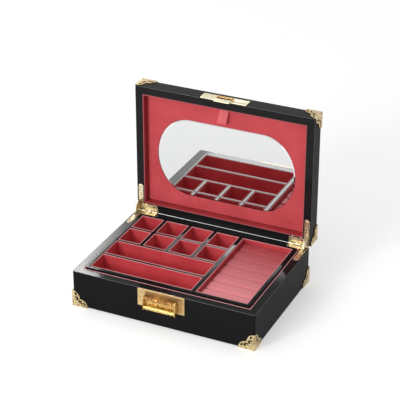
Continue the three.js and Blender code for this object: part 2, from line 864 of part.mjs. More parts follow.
// A frame behind three edges of the door, which the door shuts against. The hinged edge is
// left free, because it swings back as the door opens.
function doorStop() {
  const half_x = lined_x - seat_gap;
  const half_y = lined_y - seat_gap;
  const z = [board_back + seat_gap, ceiling_lined - seat_gap];
  const free_y = door_back - backing_margin;
  const whole = block([-half_x, half_x], [-half_y, free_y], z);
  const hollow_x = half_x - stop_width;
  const hollow_z = [z[0] - overrun, z[1] + overrun];
  return cutFrom(whole, block([-hollow_x, hollow_x], [stop_width - half_y, free_y + overrun], hollow_z));
}

// The mirror's outline: straight long sides and rounded ends, shrunk all round by inset.
function mirrorOutline(inset) {
  const shape = new THREE.Shape();
  const straight = mirror_x - mirror_end;
  const end = mirror_end - inset;
  const middle = (mirror_front + mirror_back) / 2;
  const half = (mirror_back - mirror_front) / 2 - inset;
  shape.absellipse(straight, middle, end, half, -Math.PI / 2, Math.PI / 2, false, 0);
  shape.absellipse(-straight, middle, end, half, Math.PI / 2, 1.5 * Math.PI, false, 0);
  return shape;
}

function mirrorBoard() {
  const whole = block([-door_x, door_x], [door_front, door_back], [door_face, board_back]);
  const opening_z = [door_face - overrun, board_back + overrun];
  const opening = prism(mirrorOutline(0), opening_z, mirror_steps);
  const sockets = Object.values(sides).map((side) =>
    rodAlongX(pivot_radius + seat_gap, sided(side, door_x - pivot_in_board - seat_gap, door_x + overrun),
      pivot_y, pivot_z));
  return cutFrom(whole, opening, ...sockets);
}

function mirrorGlass() {
  return prism(mirrorOutline(seat_gap), [door_face + glass_set_back, board_back], mirror_steps);
}

function mirrorBacking() {
  const half_x = door_x - backing_margin;
  const y = [door_front + backing_margin, door_back - backing_margin];
  return block([-half_x, half_x], y, [board_back + seat_gap, backing_back]);
}

function mirrorPivot(side) {
  const x = sided(side, door_x - pivot_in_board, inner_x + pivot_in_shell);
  return rodAlongX(pivot_radius, x, pivot_y, pivot_z);
}

// The ribbon is sewn on at the front edge of the door and folded back on itself.
function pullTab() {
  const root_y = door_front + seat_gap;
  const fold_y = root_y + tab_length - tab_fold / 2;
  const top = door_face - seat_gap;
  const fold_z = top - tab_fold / 2;
  const shape = new THREE.Shape();
  shape.moveTo(root_y, top);
  shape.lineTo(root_y, top - tab_root);
  shape.absarc(fold_y, fold_z, tab_fold / 2, -Math.PI / 2, Math.PI / 2);
  const loop = new THREE.Path();
  const inner_radius = tab_fold / 2 - ribbon_thick;
  const loop_start = root_y + tab_fold;
  const narrow = (tab_root - ribbon_thick) / 2;
  loop.moveTo(loop_start, top - ribbon_thick);
  loop.lineTo(loop_start, top - ribbon_thick - narrow / 2);
  loop.absarc(fold_y, fold_z, inner_radius, -Math.PI / 2, Math.PI / 2);
  shape.holes.push(loop);
  return profileAlongX(shape, around(0, tab_width), lobe_steps);
}

// The whole box

const jewelry_box = new THREE.Group();
const base = new THREE.Group();
const tray = new THREE.Group();
const lid_pivot = new THREE.Group();
const lid = new THREE.Group();
lid_pivot.position.set(0, hinge_y, hinge_z);
lid_pivot.rotation.x = -lid_opening;
lid.position.set(0, -hinge_y, -hinge_z);
lid_pivot.add(lid);
jewelry_box.add(base, tray, lid_pivot);

addPiece(base, 'base_shell', baseShell(), 'lacquer');
addPiece(base, 'base_bottom_board', bottomBoard(), 'board');
addPiece(base, 'underside_felt', undersideFelt(), 'felt');
addPiece(base, 'base_lining', baseLining(), 'velvet');
addCorners(base, 'base', shell_bottom, 1);
addPiece(base, 'lock_plate', lockPlate(), 'brass');
addPiece(base, 'latch_pin', latchPin(), 'brass');
addPiece(base, 'latch_flap', latchFlap(), 'brass');
addPiece(base, 'latch_grip_bar', gripBar(), 'brass');

for (const [name, side] of Object.entries(sides)) {
  addPiece(base, `tray_rest_${name}`, trayRest(side), 'velvet');
  addPiece(base, `hinge_base_leaf_${name}`, baseLeaf(side), 'brass');
  addPiece(base, `hinge_pin_${name}`, hingePin(side), 'brass');
  addPiece(base, `hinge_base_screw_${name}`, hingeScrew(side, rim_height, 1), 'brass');
  addPiece(lid, `hinge_lid_leaf_${name}`, lidLeaf(side), 'brass');
  addPiece(lid, `hinge_lid_screw_${name}`, hingeScrew(side, lid_rim, -1), 'brass');
  addPiece(lid, `mirror_pivot_${name}`, mirrorPivot(side), 'brass');
}

addPiece(tray, 'tray_frame', trayFrame(), 'lacquer');
addPiece(tray, 'tray_floor', trayFloor(), 'board');
addPiece(tray, 'tray_main_divider', mainDivider(), 'lacquer');
for (let n = 0; n < tray_rows - 1; n += 1) {
  addPiece(tray, `tray_row_divider_${n + 1}`, rowDivider(n), 'lacquer');
}
for (let n = 0; n < cell_columns - 1; n += 1) {
  addPiece(tray, `tray_column_divider_${n + 1}`, columnDivider(n), 'lacquer');
}
for (let row = 0; row < cell_rows; row += 1) {
  for (let column = 0; column < cell_columns; column += 1) {
    const lining = pocketLining(columnRange(column), rowRange(row));
    addPiece(tray, `cell_lining_${row + 1}_${column + 1}`, lining, 'velvet');
  }
}
for (let n = 0; n < pocket_rows; n += 1) {
  const lining = pocketLining([-bay_x, main_x[0]], rowRange(cell_rows + n));
  addPiece(tray, `pocket_lining_${n + 1}`, lining, 'velvet');
}
addPiece(tray, 'ring_bay_lining', pocketLining([main_x[1], bay_x], [-bay_y, bay_y]), 'velvet');
addPiece(tray, 'ring_pad', ringPad(), 'velvet');

addPiece(lid, 'lid_shell', lidShell(), 'lacquer');
addPiece(lid, 'lid_lining', lidLining(), 'velvet');
addPiece(lid, 'door_stop_frame', doorStop(), 'velvet');
addCorners(lid, 'lid', lid_height, -1);
addPiece(lid, 'strike_plate', strikePlate(), 'brass');
addPiece(lid, 'mirror_board', mirrorBoard(), 'velvet');
addPiece(lid, 'mirror_glass', mirrorGlass(), 'glass');
addPiece(lid, 'mirror_backing', mirrorBacking(), 'board');
addPiece(lid, 'pull_tab', pullTab(), 'velvet');

export default jewelry_box;
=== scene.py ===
# %% [markdown]
# A travel jewelry box, open The box is a black lacquered case that stands on a table with its
# lid open. Inside are a lift-out tray lined in red velvet, a cushion for rings and an oval
# mirror in the lid. Stamped brass covers the corners and makes the hinges and the latch.

# %% Load the frame
import math

import bmesh
import bpy
from mathutils import Matrix, Vector


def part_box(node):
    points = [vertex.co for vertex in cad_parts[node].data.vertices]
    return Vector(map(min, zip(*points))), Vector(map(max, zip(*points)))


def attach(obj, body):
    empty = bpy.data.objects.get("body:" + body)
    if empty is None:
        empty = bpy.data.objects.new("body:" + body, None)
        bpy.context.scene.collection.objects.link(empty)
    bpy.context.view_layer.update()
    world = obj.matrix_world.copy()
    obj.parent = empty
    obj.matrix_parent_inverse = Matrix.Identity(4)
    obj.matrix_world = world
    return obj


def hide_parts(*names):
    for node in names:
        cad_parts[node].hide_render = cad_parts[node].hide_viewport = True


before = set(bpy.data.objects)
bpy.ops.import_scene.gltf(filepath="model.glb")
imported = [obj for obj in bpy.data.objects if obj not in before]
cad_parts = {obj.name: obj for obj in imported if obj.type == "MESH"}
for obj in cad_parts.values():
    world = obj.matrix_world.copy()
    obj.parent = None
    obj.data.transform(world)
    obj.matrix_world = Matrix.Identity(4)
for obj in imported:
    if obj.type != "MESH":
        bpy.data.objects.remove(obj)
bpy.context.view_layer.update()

# %% [markdown]
# Sizes
# All sizes are in millimetres, the unit in which such a box is drawn, and are turned into
# Blender's metres where a piece is made. The places that other pieces need are read from the
# solids, so that a hinge leaf or a lining always sits where the solid has it.

# %% The main sizes
MM = 0.001
SIDES = (("left", -1), ("right", 1))


def box_mm(node):
    """Lowest and highest corner of a solid, in millimetres."""
    low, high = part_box(node)
    return Vector(low) / MM, Vector(high) / MM


shell_low, shell_high = box_mm("base_shell")
HALF_WIDTH, HALF_DEPTH, RIM = shell_high
WALL = 10.5
HINGE_Y, HINGE_Z = HALF_DEPTH + 1, RIM + 0.2
LID_RIM = RIM + 0.4
LID_TOP = LID_RIM + 23.8
print("case", HALF_WIDTH * 2, "by", HALF_DEPTH * 2, "mm, rim at", round(RIM, 2))

# %% [markdown]
# Camera
# The photograph looks down on the front right corner, from 25 degrees to the right of the
# front and 28 degrees up. A long lens far away keeps the upright edges almost parallel. The
# camera comes first, because every later choice is judged through it.

# %% Set up the camera
AZIMUTH, ELEVATION = math.radians(24.94), math.radians(27.9)
DISTANCE = 1.9642
SENSOR = 36
LENS_SHARE = 1482.5 / 400
AIM_HEIGHT, AIM_RIGHT, AIM_UP = 0.060, 0.00994, 0.0717

away = Vector((math.sin(AZIMUTH) * math.cos(ELEVATION), -math.cos(AZIMUTH) * math.cos(ELEVATION),
               math.sin(ELEVATION)))
right = Vector((math.cos(AZIMUTH), math.sin(AZIMUTH), 0))
up = away.cross(right)
target = Vector((0, 0, AIM_HEIGHT)) + right * AIM_RIGHT + up * AIM_UP

bpy.ops.object.select_all(action="DESELECT")
bpy.ops.object.camera_add(location=target + away * DISTANCE)
camera = bpy.context.object
camera.name = "photo_camera"
camera.rotation_euler = Matrix((right, up, away)).transposed().to_euler()
camera.data.sensor_width = SENSOR
camera.data.lens = SENSOR * LENS_SHARE
camera.data.clip_end = 20
bpy.context.scene.camera = camera
print("camera at", [round(v, 3) for v in camera.location])

# %% [markdown]
# Modelling by hand
# A piece starts as a primitive at its size and place. Its faces and edges are then picked by
# where they are, as they would be by eye, and shaped with the edit-mode tools. These helpers
# do the picking and the shaping, so that the cells below read as a list of strokes.


# %% Helpers that make a piece
def object_mode():
    """Leave edit mode, with nothing selected."""
    if bpy.context.mode != "OBJECT":
        bpy.ops.object.mode_set(mode="OBJECT")
    bpy.ops.object.select_all(action="DESELECT")


def only(piece):
    """Leave edit mode and make this the only selected object."""
    object_mode()
    piece.select_set(True)
    bpy.context.view_layer.objects.active = piece
    return piece


def made(name, add, **settings):
    """Add a primitive and name it."""
    object_mode()
    add(**settings)
    piece = bpy.context.object
    piece.name = piece.data.name = name
    return piece


def settle(piece):
    """Put the object's place, turn and scale into its mesh."""
    only(piece)
    bpy.ops.object.transform_apply(location=True, rotation=True, scale=True)
    return piece


def box(name, x, y, z):
    """A cube stretched between two corners given in millimetres."""
    middle = Vector((sum(x), sum(y), sum(z))) * MM / 2
    piece = made(name, bpy.ops.mesh.primitive_cube_add, size=1, location=middle)
    piece.scale = [(high - low) * MM for low, high in (x, y, z)]
    return settle(piece)


def rod(name, radius, start, end, sides=32):
    """A round rod between two points in millimetres."""
    start, end = Vector(start) * MM, Vector(end) * MM
    piece = made(name, bpy.ops.mesh.primitive_cylinder_add, vertices=sides, radius=radius * MM,
                 depth=(end - start).length, location=(start + end) / 2)
    piece.rotation_euler = (end - start).to_track_quat("Z", "Y").to_euler()
    return settle(piece)


def copied(piece, name, matrix):
    """A copy with its own mesh, moved by a matrix in metres."""
    bpy.context.view_layer.update()
    twin = piece.copy()
    twin.data = piece.data.copy()
    twin.name = twin.data.name = name
    bpy.context.collection.objects.link(twin)
    twin.data.transform(matrix)
    if matrix.determinant() < 0:
        twin.data.flip_normals()
    return twin


def join(name, *pieces):
    only(pieces[0])
    for piece in pieces:
        piece.select_set(True)
    if len(pieces) > 1:
        bpy.ops.object.join()
    piece = bpy.context.object
    piece.name = piece.data.name = name
    return piece


def remove(*pieces):
    for piece in pieces:
        bpy.data.objects.remove(piece)


# %% Helpers for edit mode
DOUBLE, NEAR = 0.000002, 0.02


def near(a, b):
    return abs(a - b) < NEAR


def along(share):
    """Whether a direction runs along the axis that this share of it belongs to."""
    return abs(share) > 0.9


def across(share):
    """Whether a direction runs across the axis that this share of it belongs to."""
    return abs(share) < 0.1


def pick(piece, kind, test):
    """Select the vertices, edges or faces that pass a test on their middle, in millimetres."""
    if bpy.context.mode != "EDIT_MESH":
        only(piece)
        bpy.ops.object.mode_set(mode="EDIT")
    bpy.ops.mesh.select_mode(type=kind)
    bpy.ops.mesh.select_all(action="DESELECT")
    mesh = bmesh.from_edit_mesh(piece.data)
    if kind == "FACE":
        picked = [face for face in mesh.faces if test(face.calc_center_median() / MM, face.normal)]
    elif kind == "EDGE":
        ends = [(edge, *(v.co / MM for v in edge.verts)) for edge in mesh.edges]
        picked = [edge for edge, a, b in ends if test((a + b) / 2, (b - a).normalized())]
    else:
        picked = [vertex for vertex in mesh.verts if test(vertex.co / MM)]
    for part in picked:
        part.select_set(True)
    bmesh.update_edit_mesh(piece.data)


def inset(width):
    bpy.ops.mesh.inset(thickness=width * MM)


def extrude(*step):
    """Draw out what is selected by a step in x, y and z."""
    bpy.ops.mesh.extrude_region_move(TRANSFORM_OT_translate={"value": tuple(v * MM for v in step)})


def merge_doubles():
    """Merge what lies on one spot, and drop the faces that this leaves without area."""
    bpy.ops.mesh.select_all(action="SELECT")
    bpy.ops.mesh.remove_doubles(threshold=DOUBLE)
    bpy.ops.mesh.dissolve_degenerate(threshold=DOUBLE)


def round_edges(piece, width, segments, test):
    """Bevel the edges that pass a test. Where there is no room left, the bevel stops and leaves doubles."""
    pick(piece, "EDGE", test)
    bpy.ops.mesh.bevel(offset=width * MM, segments=segments, affect="EDGES", clamp_overlap=True)
    merge_doubles()


def mend(piece):
    """Leave no doubles and no pinholes behind in a solid piece."""
    only(piece)
    bpy.ops.object.mode_set(mode="EDIT")
    merge_doubles()
    bpy.ops.mesh.select_all(action="SELECT")
    bpy.ops.mesh.fill_holes(sides=0)
    bpy.ops.object.mode_set(mode="OBJECT")
    return piece


def outward(piece):
    """Merge doubles and turn all faces outwards, after a mirror or a spin."""
    only(piece)
    bpy.ops.object.mode_set(mode="EDIT")
    bpy.ops.mesh.select_all(action="SELECT")
    bpy.ops.mesh.remove_doubles(threshold=DOUBLE * 5)
    bpy.ops.mesh.normals_make_consistent(inside=False)
    bpy.ops.object.mode_set(mode="OBJECT")
    return piece


# %% Helpers that finish a piece
def smooth(piece, angle=35):
    only(piece)
    bpy.ops.object.shade_smooth_by_angle(angle=math.radians(angle))
    return piece


def use(piece, kind, **settings):
    """Add a modifier and apply it at once."""
    only(piece)
    modifier = piece.modifiers.new(kind.title(), kind)
    for key, value in settings.items():
        setattr(modifier, key, value)
    bpy.ops.object.modifier_apply(modifier=modifier.name)
    return piece


def soften(piece, width, segments, angle=40):
    """Round every edge that is sharper than an angle."""
    use(piece, "BEVEL", width=width * MM, segments=segments, limit_method="ANGLE",
        angle_limit=math.radians(angle), use_clamp_overlap=True, harden_normals=False)
    return smooth(mend(piece))


def cut(piece, *cutters):
    """Saw the cutters out of the piece, all at once."""
    group = bpy.data.collections.new("cutters")
    for cutter in cutters:
        group.objects.link(cutter)
    use(piece, "BOOLEAN", operation="DIFFERENCE", solver="EXACT", operand_type="COLLECTION", collection=group)
    bpy.data.collections.remove(group)
    remove(*cutters)
    return mend(piece)


def flat_faces(piece):
    """Shade by the size of the faces, so that flats look flat right up to their rounded edges."""
    return use(piece, "WEIGHTED_NORMAL", mode="FACE_AREA", weight=50, keep_sharp=True)


def tell(*pieces):
    for piece in pieces:
        print(piece.name + ":", len(piece.data.polygons), "faces")


def note_faces(piece, **shares):
    """Note shares on each face, which a finish reads later: a name, and a sum on place and normal."""
    for name, share in shares.items():
        notes = piece.data.attributes.new(name, "FLOAT", "FACE")
        for face, note in zip(piece.data.polygons, notes.data):
            note.value = share(face.center / MM, face.normal)
    return piece


# %% [markdown]
# Pieces of the lid are modelled shut, where their places are easy to read against the base,
# and are then swung open about the hinge pins with this one turn. Where such a piece takes its
# size from a solid, which stands open, the place is read back to the shut lid first.

# %% Swing a piece of the lid open
hinge_line = Vector((0, HINGE_Y * MM, HINGE_Z * MM))
SWING = Matrix.Rotation(-math.pi / 2, 4, "X")
OPEN = Matrix.Translation(hinge_line) @ SWING @ Matrix.Translation(-hinge_line)


def opened(piece):
    settle(piece)
    piece.data.transform(OPEN)
    return piece


def shut_y(open_z):
    return HINGE_Y - (open_z - HINGE_Z)


def shut_z(open_y):
    return HINGE_Z + (open_y - HINGE_Y)


# %% [markdown]
# Base of the case
# The base is a frame of four lacquered walls. A box gets its top and bottom faces inset by the
# thickness of the walls, and bridging those two faces opens it up. The upright edges are
# rounded first and the rim after that, as a cabinet maker would sand them. The shallow beds
# for the hinge leaves are sawn out last, so that their edges stay crisp.

# %% The places of the hinges
LEAF_WIDE, LEAF_THICK, BARREL = 7.5, 1.2, 1.8
LEAF_OUT = HALF_WIDTH - 1.8
LEAF_IN = LEAF_OUT - LEAF_WIDE
LEAF_END = HALF_WIDTH - 31
LEAF_BACK = HINGE_Y - BARREL - 0.6
LEAF_INNER = LEAF_BACK - LEAF_WIDE
SCREW_X = (LEAF_IN + LEAF_OUT) / 2
SCREW_Y = HALF_DEPTH - 39.5 + LEAF_WIDE / 2
QUADRANT, QUADRANT_X, SLOT = 17, HALF_WIDTH - 4, 1.15
BED, BED_GAP, POINT_DEEP, OVERRUN = 1.5, 0.3, 2.1, 1


def on_side(side, *reach):
    """A range of x, on the left for side -1 and on the right for side 1."""
    return sorted(side * x for x in reach)


def hinge_beds(rim_z, inward):
    """The solids to saw out of a rim for the leaves and barrels of both hinges."""
    z = sorted((rim_z - inward * OVERRUN, rim_z + inward * BED))
    back = HALF_DEPTH + 2 * OVERRUN
    cutters = []
    for _, side in SIDES:
        leg = on_side(side, LEAF_IN - BED_GAP, LEAF_OUT + BED_GAP)
        leaf = on_side(side, LEAF_END - BED_GAP, LEAF_OUT + BED_GAP)
        ends = [(side * SCREW_X, SCREW_Y, end) for end in z]
        pin = [(leaf[0] - 0.2, HINGE_Y, HINGE_Z), (leaf[1] + 0.2, HINGE_Y, HINGE_Z)]
        cutters += [box("leg_bed", leg, (SCREW_Y, back), z),
                    rod("leg_bed_end", LEAF_WIDE / 2 + BED_GAP, *ends),
                    box("back_bed", leaf, (LEAF_INNER - POINT_DEEP, back), z),
                    rod("barrel_bed", BARREL + 0.4, *pin)]
    return cutters


# %% Model the base
CASE_CORNER, RIM_ROUND = 3, 0.8
CASE_X, CASE_Y = (-HALF_WIDTH, HALF_WIDTH), (-HALF_DEPTH, HALF_DEPTH)
POLISHED = 0.35


def walls(name, x, y, z, thick, corner, segments):
    """Four walls round an open middle, with rounded corners."""
    piece = box(name, x, y, z)
    pick(piece, "FACE", lambda c, n: along(n.z))
    inset(thick)
    bpy.ops.mesh.bridge_edge_loops()
    round_edges(piece, corner, segments, lambda c, d: along(d.z) and near(abs(c.x), x[1]))
    return piece


def round_rim(piece, rim_z):
    """Round the outer edges of a rim, apart from the back one, where the hinges are."""
    outside = CASE_CORNER + 0.1
    round_edges(piece, RIM_ROUND, 4, lambda c, d: near(c.z, rim_z) and across(d.z) and c.y < HALF_DEPTH - 0.1
                and (abs(c.x) > HALF_WIDTH - outside or abs(c.y) > HALF_DEPTH - outside))


def back_bead(rim_z, inward):
    """A fine bead along the back edge, which nearly closes the joint between base and lid."""
    reach = LEAF_END - 0.6
    z = sorted((rim_z, rim_z + inward * 1.6))
    return soften(box("bead", (-reach, reach), (HALF_DEPTH - 0.6, HINGE_Y - 0.2), z), 0.15, 2)


def rubbed_rim(c, rim_z):
    """Whether a face is on the rounding of a rim, where a grey highlight line is painted."""
    return 0.02 < abs(c.z - rim_z) < 0.28 and c.y < HALF_DEPTH - 0.65


case_base = walls("case_base", CASE_X, CASE_Y, (shell_low.z, RIM), WALL, CASE_CORNER, 6)
round_rim(case_base, RIM)
cut(case_base, *hinge_beds(RIM, -1))
for _, side in SIDES:
    slot_y, slot_z = (c - QUADRANT - 0.4 for c in (HINGE_Y, HINGE_Z))
    cut(case_base, box("quadrant_slot", on_side(side, QUADRANT_X - SLOT, QUADRANT_X + SLOT),
                       (slot_y, HALF_DEPTH - 1), (slot_z, RIM + OVERRUN)))
case_base = join("case_base", case_base, back_bead(RIM, -1))
flat_faces(smooth(case_base, 30))
# The second note marks the rim's rounding, where the lacquer gets a painted highlight.
note_faces(case_base, polish=lambda c, n: c.z > RIM - POLISHED, rubbed=lambda c, n: rubbed_rim(c, RIM))
tell(case_base)

# %% [markdown]
# Lid of the case
# The lid is a shallow tray turned over: a box whose lower face is inset and pushed up. It
# gets the same rounding, a softer one along its top, and beds for the other hinge leaves. Its
# front is polished like the rims. A grey highlight line is painted along its rim, and a fainter one along its
# top edges.

# %% Model the lid
# The last of these is the strength of the highlight painted along the lid's top edges.
LID_HOLLOW, TOP_EDGE, TOP_GLINT = 20.8, 1.6, 0.4
case_lid = box("case_lid", CASE_X, CASE_Y, (LID_RIM, LID_TOP))
pick(case_lid, "FACE", lambda c, n: n.z < -0.9)
inset(WALL)
extrude(0, 0, LID_HOLLOW)
round_edges(case_lid, CASE_CORNER, 6, lambda c, d: along(d.z) and near(abs(c.x), HALF_WIDTH))
round_edges(case_lid, TOP_EDGE, 4, lambda c, d: near(c.z, LID_TOP) and across(d.z))
round_rim(case_lid, LID_RIM)
cut(case_lid, *hinge_beds(LID_RIM, 1))
case_lid = join("case_lid", case_lid, back_bead(LID_RIM, 1))
note_faces(case_lid, polish=lambda c, n: c.z < LID_RIM + POLISHED or n.y < -0.9,
           rubbed=lambda c, n: rubbed_rim(c, LID_RIM) or TOP_GLINT * (LID_TOP - 0.9 < c.z < LID_TOP - 0.15))
flat_faces(opened(smooth(case_lid, 30)))
tell(case_lid)

# %% [markdown]
# Linings
# Velvet is glued to thin card that stands inside each compartment, and its folded edge gets a
# soft pale line all round, a highlight painted into the velvet. Each lining is a box with its mouth inset and
# pushed down, and then rounded everywhere, a little less at the lip where the cloth folds over.

# %% Model the linings
WIDE_CARD, CELL_CARD = 1.3, 1.1
INSIDE_ROUND, LIP_ROUND = 1.2, 0.45


def lining(node, thick, name=None, mouth_up=True):
    """An open velvet box in the place of a solid one. The lid's opens downwards."""
    low, high = box_mm(node)
    if not mouth_up:
        low, high = (Vector((low.x, shut_y(high.z), shut_z(low.y))),
                     Vector((high.x, shut_y(low.z), shut_z(high.y))))
    piece = box(name or node + "_velvet", *zip(low, high))
    sign = 1 if mouth_up else -1
    pick(piece, "FACE", lambda c, n: n.z * sign > 0.9)
    inset(thick)
    depth = (high.z - low.z) - thick
    extrude(0, 0, -sign * depth)
    lip_z, floor_z = (high.z, high.z - depth) if mouth_up else (low.z, low.z + depth)
    middle, reach = (low + high) / 2, (high - low) / 2
    round_edges(piece, INSIDE_ROUND, 3, lambda c, d: (along(d.z) or near(c.z, floor_z))
                and abs(c.x - middle.x) < reach.x - thick / 2 and abs(c.y - middle.y) < reach.y - thick / 2)
    round_edges(piece, LIP_ROUND, 3, lambda c, d: near(c.z, lip_z) and across(d.z))
    return smooth(piece, 50)


base_velvet = lining("base_lining", WIDE_CARD, "base_velvet")
lid_velvet = opened(lining("lid_lining", WIDE_CARD, "lid_velvet", mouth_up=False))
pockets = ("cell_lining", "pocket_lining", "ring_bay_lining")
pocket_nodes = sorted(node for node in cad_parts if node.startswith(pockets))
pocket_velvets = {node: lining(node, CELL_CARD) for node in pocket_nodes}
print("pocket linings:", len(pocket_velvets))

# %% [markdown]
# Tray
# The tray's frame and dividers are lacquered strips. Their tops are flat, and the edges of the
# tops are rounded just enough to catch a long thin highlight, so only those edges are bevelled.

# %% Model the tray's frame and dividers
TRAY_WALL, TRAY_CORNER, TOP_ROUND, STRIP_OVER = 4.2, 2, 0.6, 0.3


def strip(node):
    """A divider with softened top edges, which runs a little way into what it meets."""
    low, high = box_mm(node)
    along_x = high.x - low.x > high.y - low.y
    over_x, over_y = (STRIP_OVER, 0) if along_x else (0, STRIP_OVER)
    piece = box(node + "_strip", (low.x - over_x, high.x + over_x), (low.y - over_y, high.y + over_y),
                (low.z, high.z))
    round_edges(piece, TOP_ROUND, 4, lambda c, d: near(c.z, high.z) and along(d.x if along_x else d.y))
    return flat_faces(smooth(piece, 40))


tray_low, tray_high = box_mm("tray_frame")
corner_x, corner_y = tray_high.x - TRAY_CORNER - 0.1, tray_high.y - TRAY_CORNER - 0.1
tray_ring = walls("tray_ring", *zip(tray_low, tray_high), TRAY_WALL, TRAY_CORNER, 5)
round_edges(tray_ring, TOP_ROUND, 4, lambda c, d: near(c.z, tray_high.z) and across(d.z)
            and not (abs(d.x * d.y) > 0.2 and abs(c.x) < corner_x and abs(c.y) < corner_y))
tell(flat_faces(smooth(tray_ring, 40)))

strips = {node: strip(node) for node in sorted(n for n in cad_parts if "divider" in n)}
print("dividers:", len(strips))

# %% [markdown]
# Ring cushion
# The cushion is a row of seven foam rolls wrapped in velvet and pressed together, so that a
# ring can be pushed into the line between two of them. One roll is blown up a little with
# Blender's cloth, which gives it the soft crown and drawn-in ends of real padding, and the
# others are copies of it. The rolls stand on a flat board, so the lower part keeps its shape.

# %% Model one roll and lay seven in a row
ROLLS, ROLL_END, ROLL_GAP, VOXEL = 7, 0.7, 0.8, 0.0009
PRESSURE, CLOTH_FRAMES, CAP = 4, 12, 0.4 * MM
pad_low, pad_high = box_mm("ring_pad")
pitch = (pad_high.y - pad_low.y) / ROLLS
crown_low = pad_low.z + 6
ring_roll = box("ring_roll", (pad_low.x + ROLL_END, pad_high.x - ROLL_END),
                (pad_low.y + ROLL_GAP, pad_low.y + pitch - ROLL_GAP), (pad_low.z, pad_high.z - 0.5))
round_edges(ring_roll, 1.4, 3, lambda c, d: c.z > pad_high.z - 1)
round_edges(ring_roll, 1.6, 3, lambda c, d: along(d.z))
use(ring_roll, "REMESH", mode="VOXEL", voxel_size=VOXEL, adaptivity=0)
before = [v.co.copy() for v in ring_roll.data.vertices]
only(ring_roll)
cloth = ring_roll.modifiers.new("Cloth", "CLOTH")
cloth.settings.use_pressure = True
cloth.settings.uniform_pressure_force = PRESSURE
cloth.settings.effector_weights.gravity = 0
cloth.settings.quality = 6
for frame_number in range(1, CLOTH_FRAMES + 1):
    bpy.context.scene.frame_set(frame_number)
bpy.ops.object.modifier_apply(modifier="Cloth")
bpy.context.scene.frame_set(1)
for vertex, old in zip(ring_roll.data.vertices, before):
    step = vertex.co - old
    if step.length > CAP:
        step *= CAP / step.length
    share = (old.z / MM - pad_low.z - 2) / 6
    vertex.co = old + step * min(max(share, 0), 1)
use(ring_roll, "SMOOTH", factor=0.5, iterations=3)
rise = pad_high.z * MM - max(v.co.z for v in ring_roll.data.vertices)
for vertex in ring_roll.data.vertices:
    if vertex.co.z > crown_low * MM:
        vertex.co.z += rise * (vertex.co.z / MM - crown_low) / (pad_high.z - crown_low)
rolls = [copied(ring_roll, f"ring_roll_{n + 1}", Matrix.Translation((0, n * pitch * MM, 0)))
         for n in range(1, ROLLS)]
ring_cushion = smooth(join("ring_cushion", ring_roll, *rolls), 80)
tell(ring_cushion)

# %% [markdown]
# Mirror door
# A thin board covered in velvet closes the hollow of the lid, and an oval window in it holds
# the mirror. The oval is a circle whose two halves are drawn apart, which leaves it with
# straight long sides. The board's edges are rounded by the cloth that wraps them.

# %% Model the oval and the door
OVAL_SIDES, OVAL_END, OVAL_GAP = 128, 48, 0.3
door_low, door_high = box_mm("mirror_board")
glass_low, glass_high = box_mm("mirror_glass")
oval_front, oval_back = shut_y(glass_high.z) - OVAL_GAP, shut_y(glass_low.z) + OVAL_GAP
oval_half = (glass_high.x - glass_low.x) / 2 + OVAL_GAP
DOOR_FACE, DOOR_BACK = shut_z(door_low.y), shut_z(door_high.y)


def oval(name, margin, z):
    """A flat oval face at height z, smaller all round by a margin."""
    middle = (oval_front + oval_back) / 2 * MM
    piece = made(name, bpy.ops.mesh.primitive_circle_add, vertices=OVAL_SIDES, radius=1, fill_type="NGON",
                 location=(0, middle, z * MM), rotation=(0, 0, math.pi / OVAL_SIDES))
    settle(piece)
    pick(piece, "VERT", lambda c: True)
    wide, deep = OVAL_END - margin, (oval_back - oval_front) / 2 - margin
    bpy.ops.transform.resize(value=(wide * MM, deep * MM, 1), center_override=(0, middle, z * MM))
    for _, side in SIDES:
        pick(piece, "VERT", lambda c: c.x * side > 0)
        bpy.ops.transform.translate(value=(side * (oval_half - OVAL_END) * MM, 0, 0))
    pick(piece, "FACE", lambda c, n: True)
    return piece


window = oval("window", 0, DOOR_FACE - 2)
extrude(0, 0, 8)
outward(window)

velvet_door = box("velvet_door", (door_low.x, door_high.x), (shut_y(door_high.z), shut_y(door_low.z)),
                  (DOOR_FACE, DOOR_BACK))
round_edges(velvet_door, 1.5, 4, lambda c, d: along(d.z))
cut(velvet_door, window)
soften(velvet_door, 0.7, 4, 50)
tell(opened(velvet_door))

# %% [markdown]
# The mirror is a sheet of glass with a narrow bevelled edge. Insetting its face and bringing
# the inner part forward makes that slope, which shows as a thin bright line in the light.

# %% Model the mirror
GLASS_FACE = DOOR_FACE + 0.75
mirror_glass = oval("oval_mirror", 0.25, DOOR_BACK)
extrude(0, 0, GLASS_FACE - DOOR_BACK)
pick(mirror_glass, "FACE", lambda c, n: near(c.z, GLASS_FACE) and along(n.z))
inset(1.6)
bpy.ops.transform.translate(value=(0, 0, -0.4 * MM))
opened(smooth(outward(mirror_glass), 5))
print("mirror:", [round(v / MM, 1) for v in mirror_glass.dimensions], "mm")

# %% [markdown]
# Pull tab
# The tab is a velvet ribbon, folded into a loop and sewn down at the top of the door, a little
# askew. A narrow plane is drawn out edge by edge along the loop, then given its thickness and
# smoothed, which is how the real ribbon bends.


# %% Model the pull tab
def band(name, points, x, thick, levels=2):
    """A ribbon that runs through points (y, z) and is as wide as the range x."""
    piece = made(name, bpy.ops.mesh.primitive_plane_add, size=1)
    corners = [(side, *point) for point in points[:2] for side in x]
    for vertex, corner in zip(piece.data.vertices, corners):
        vertex.co = Vector(corner) * MM
    for last, point in zip(points[1:], points[2:]):
        pick(piece, "EDGE", lambda c, d: along(d.x) and max(abs(c.y - last[0]), abs(c.z - last[1])) < 0.001)
        extrude(0, point[0] - last[0], point[1] - last[1])
    outward(piece)
    use(piece, "SOLIDIFY", thickness=thick * MM, offset=0)
    use(piece, "BEVEL", width=0.12 * MM, segments=2, limit_method="ANGLE")
    use(piece, "SUBSURF", levels=levels, render_levels=levels)
    return smooth(piece, 60)


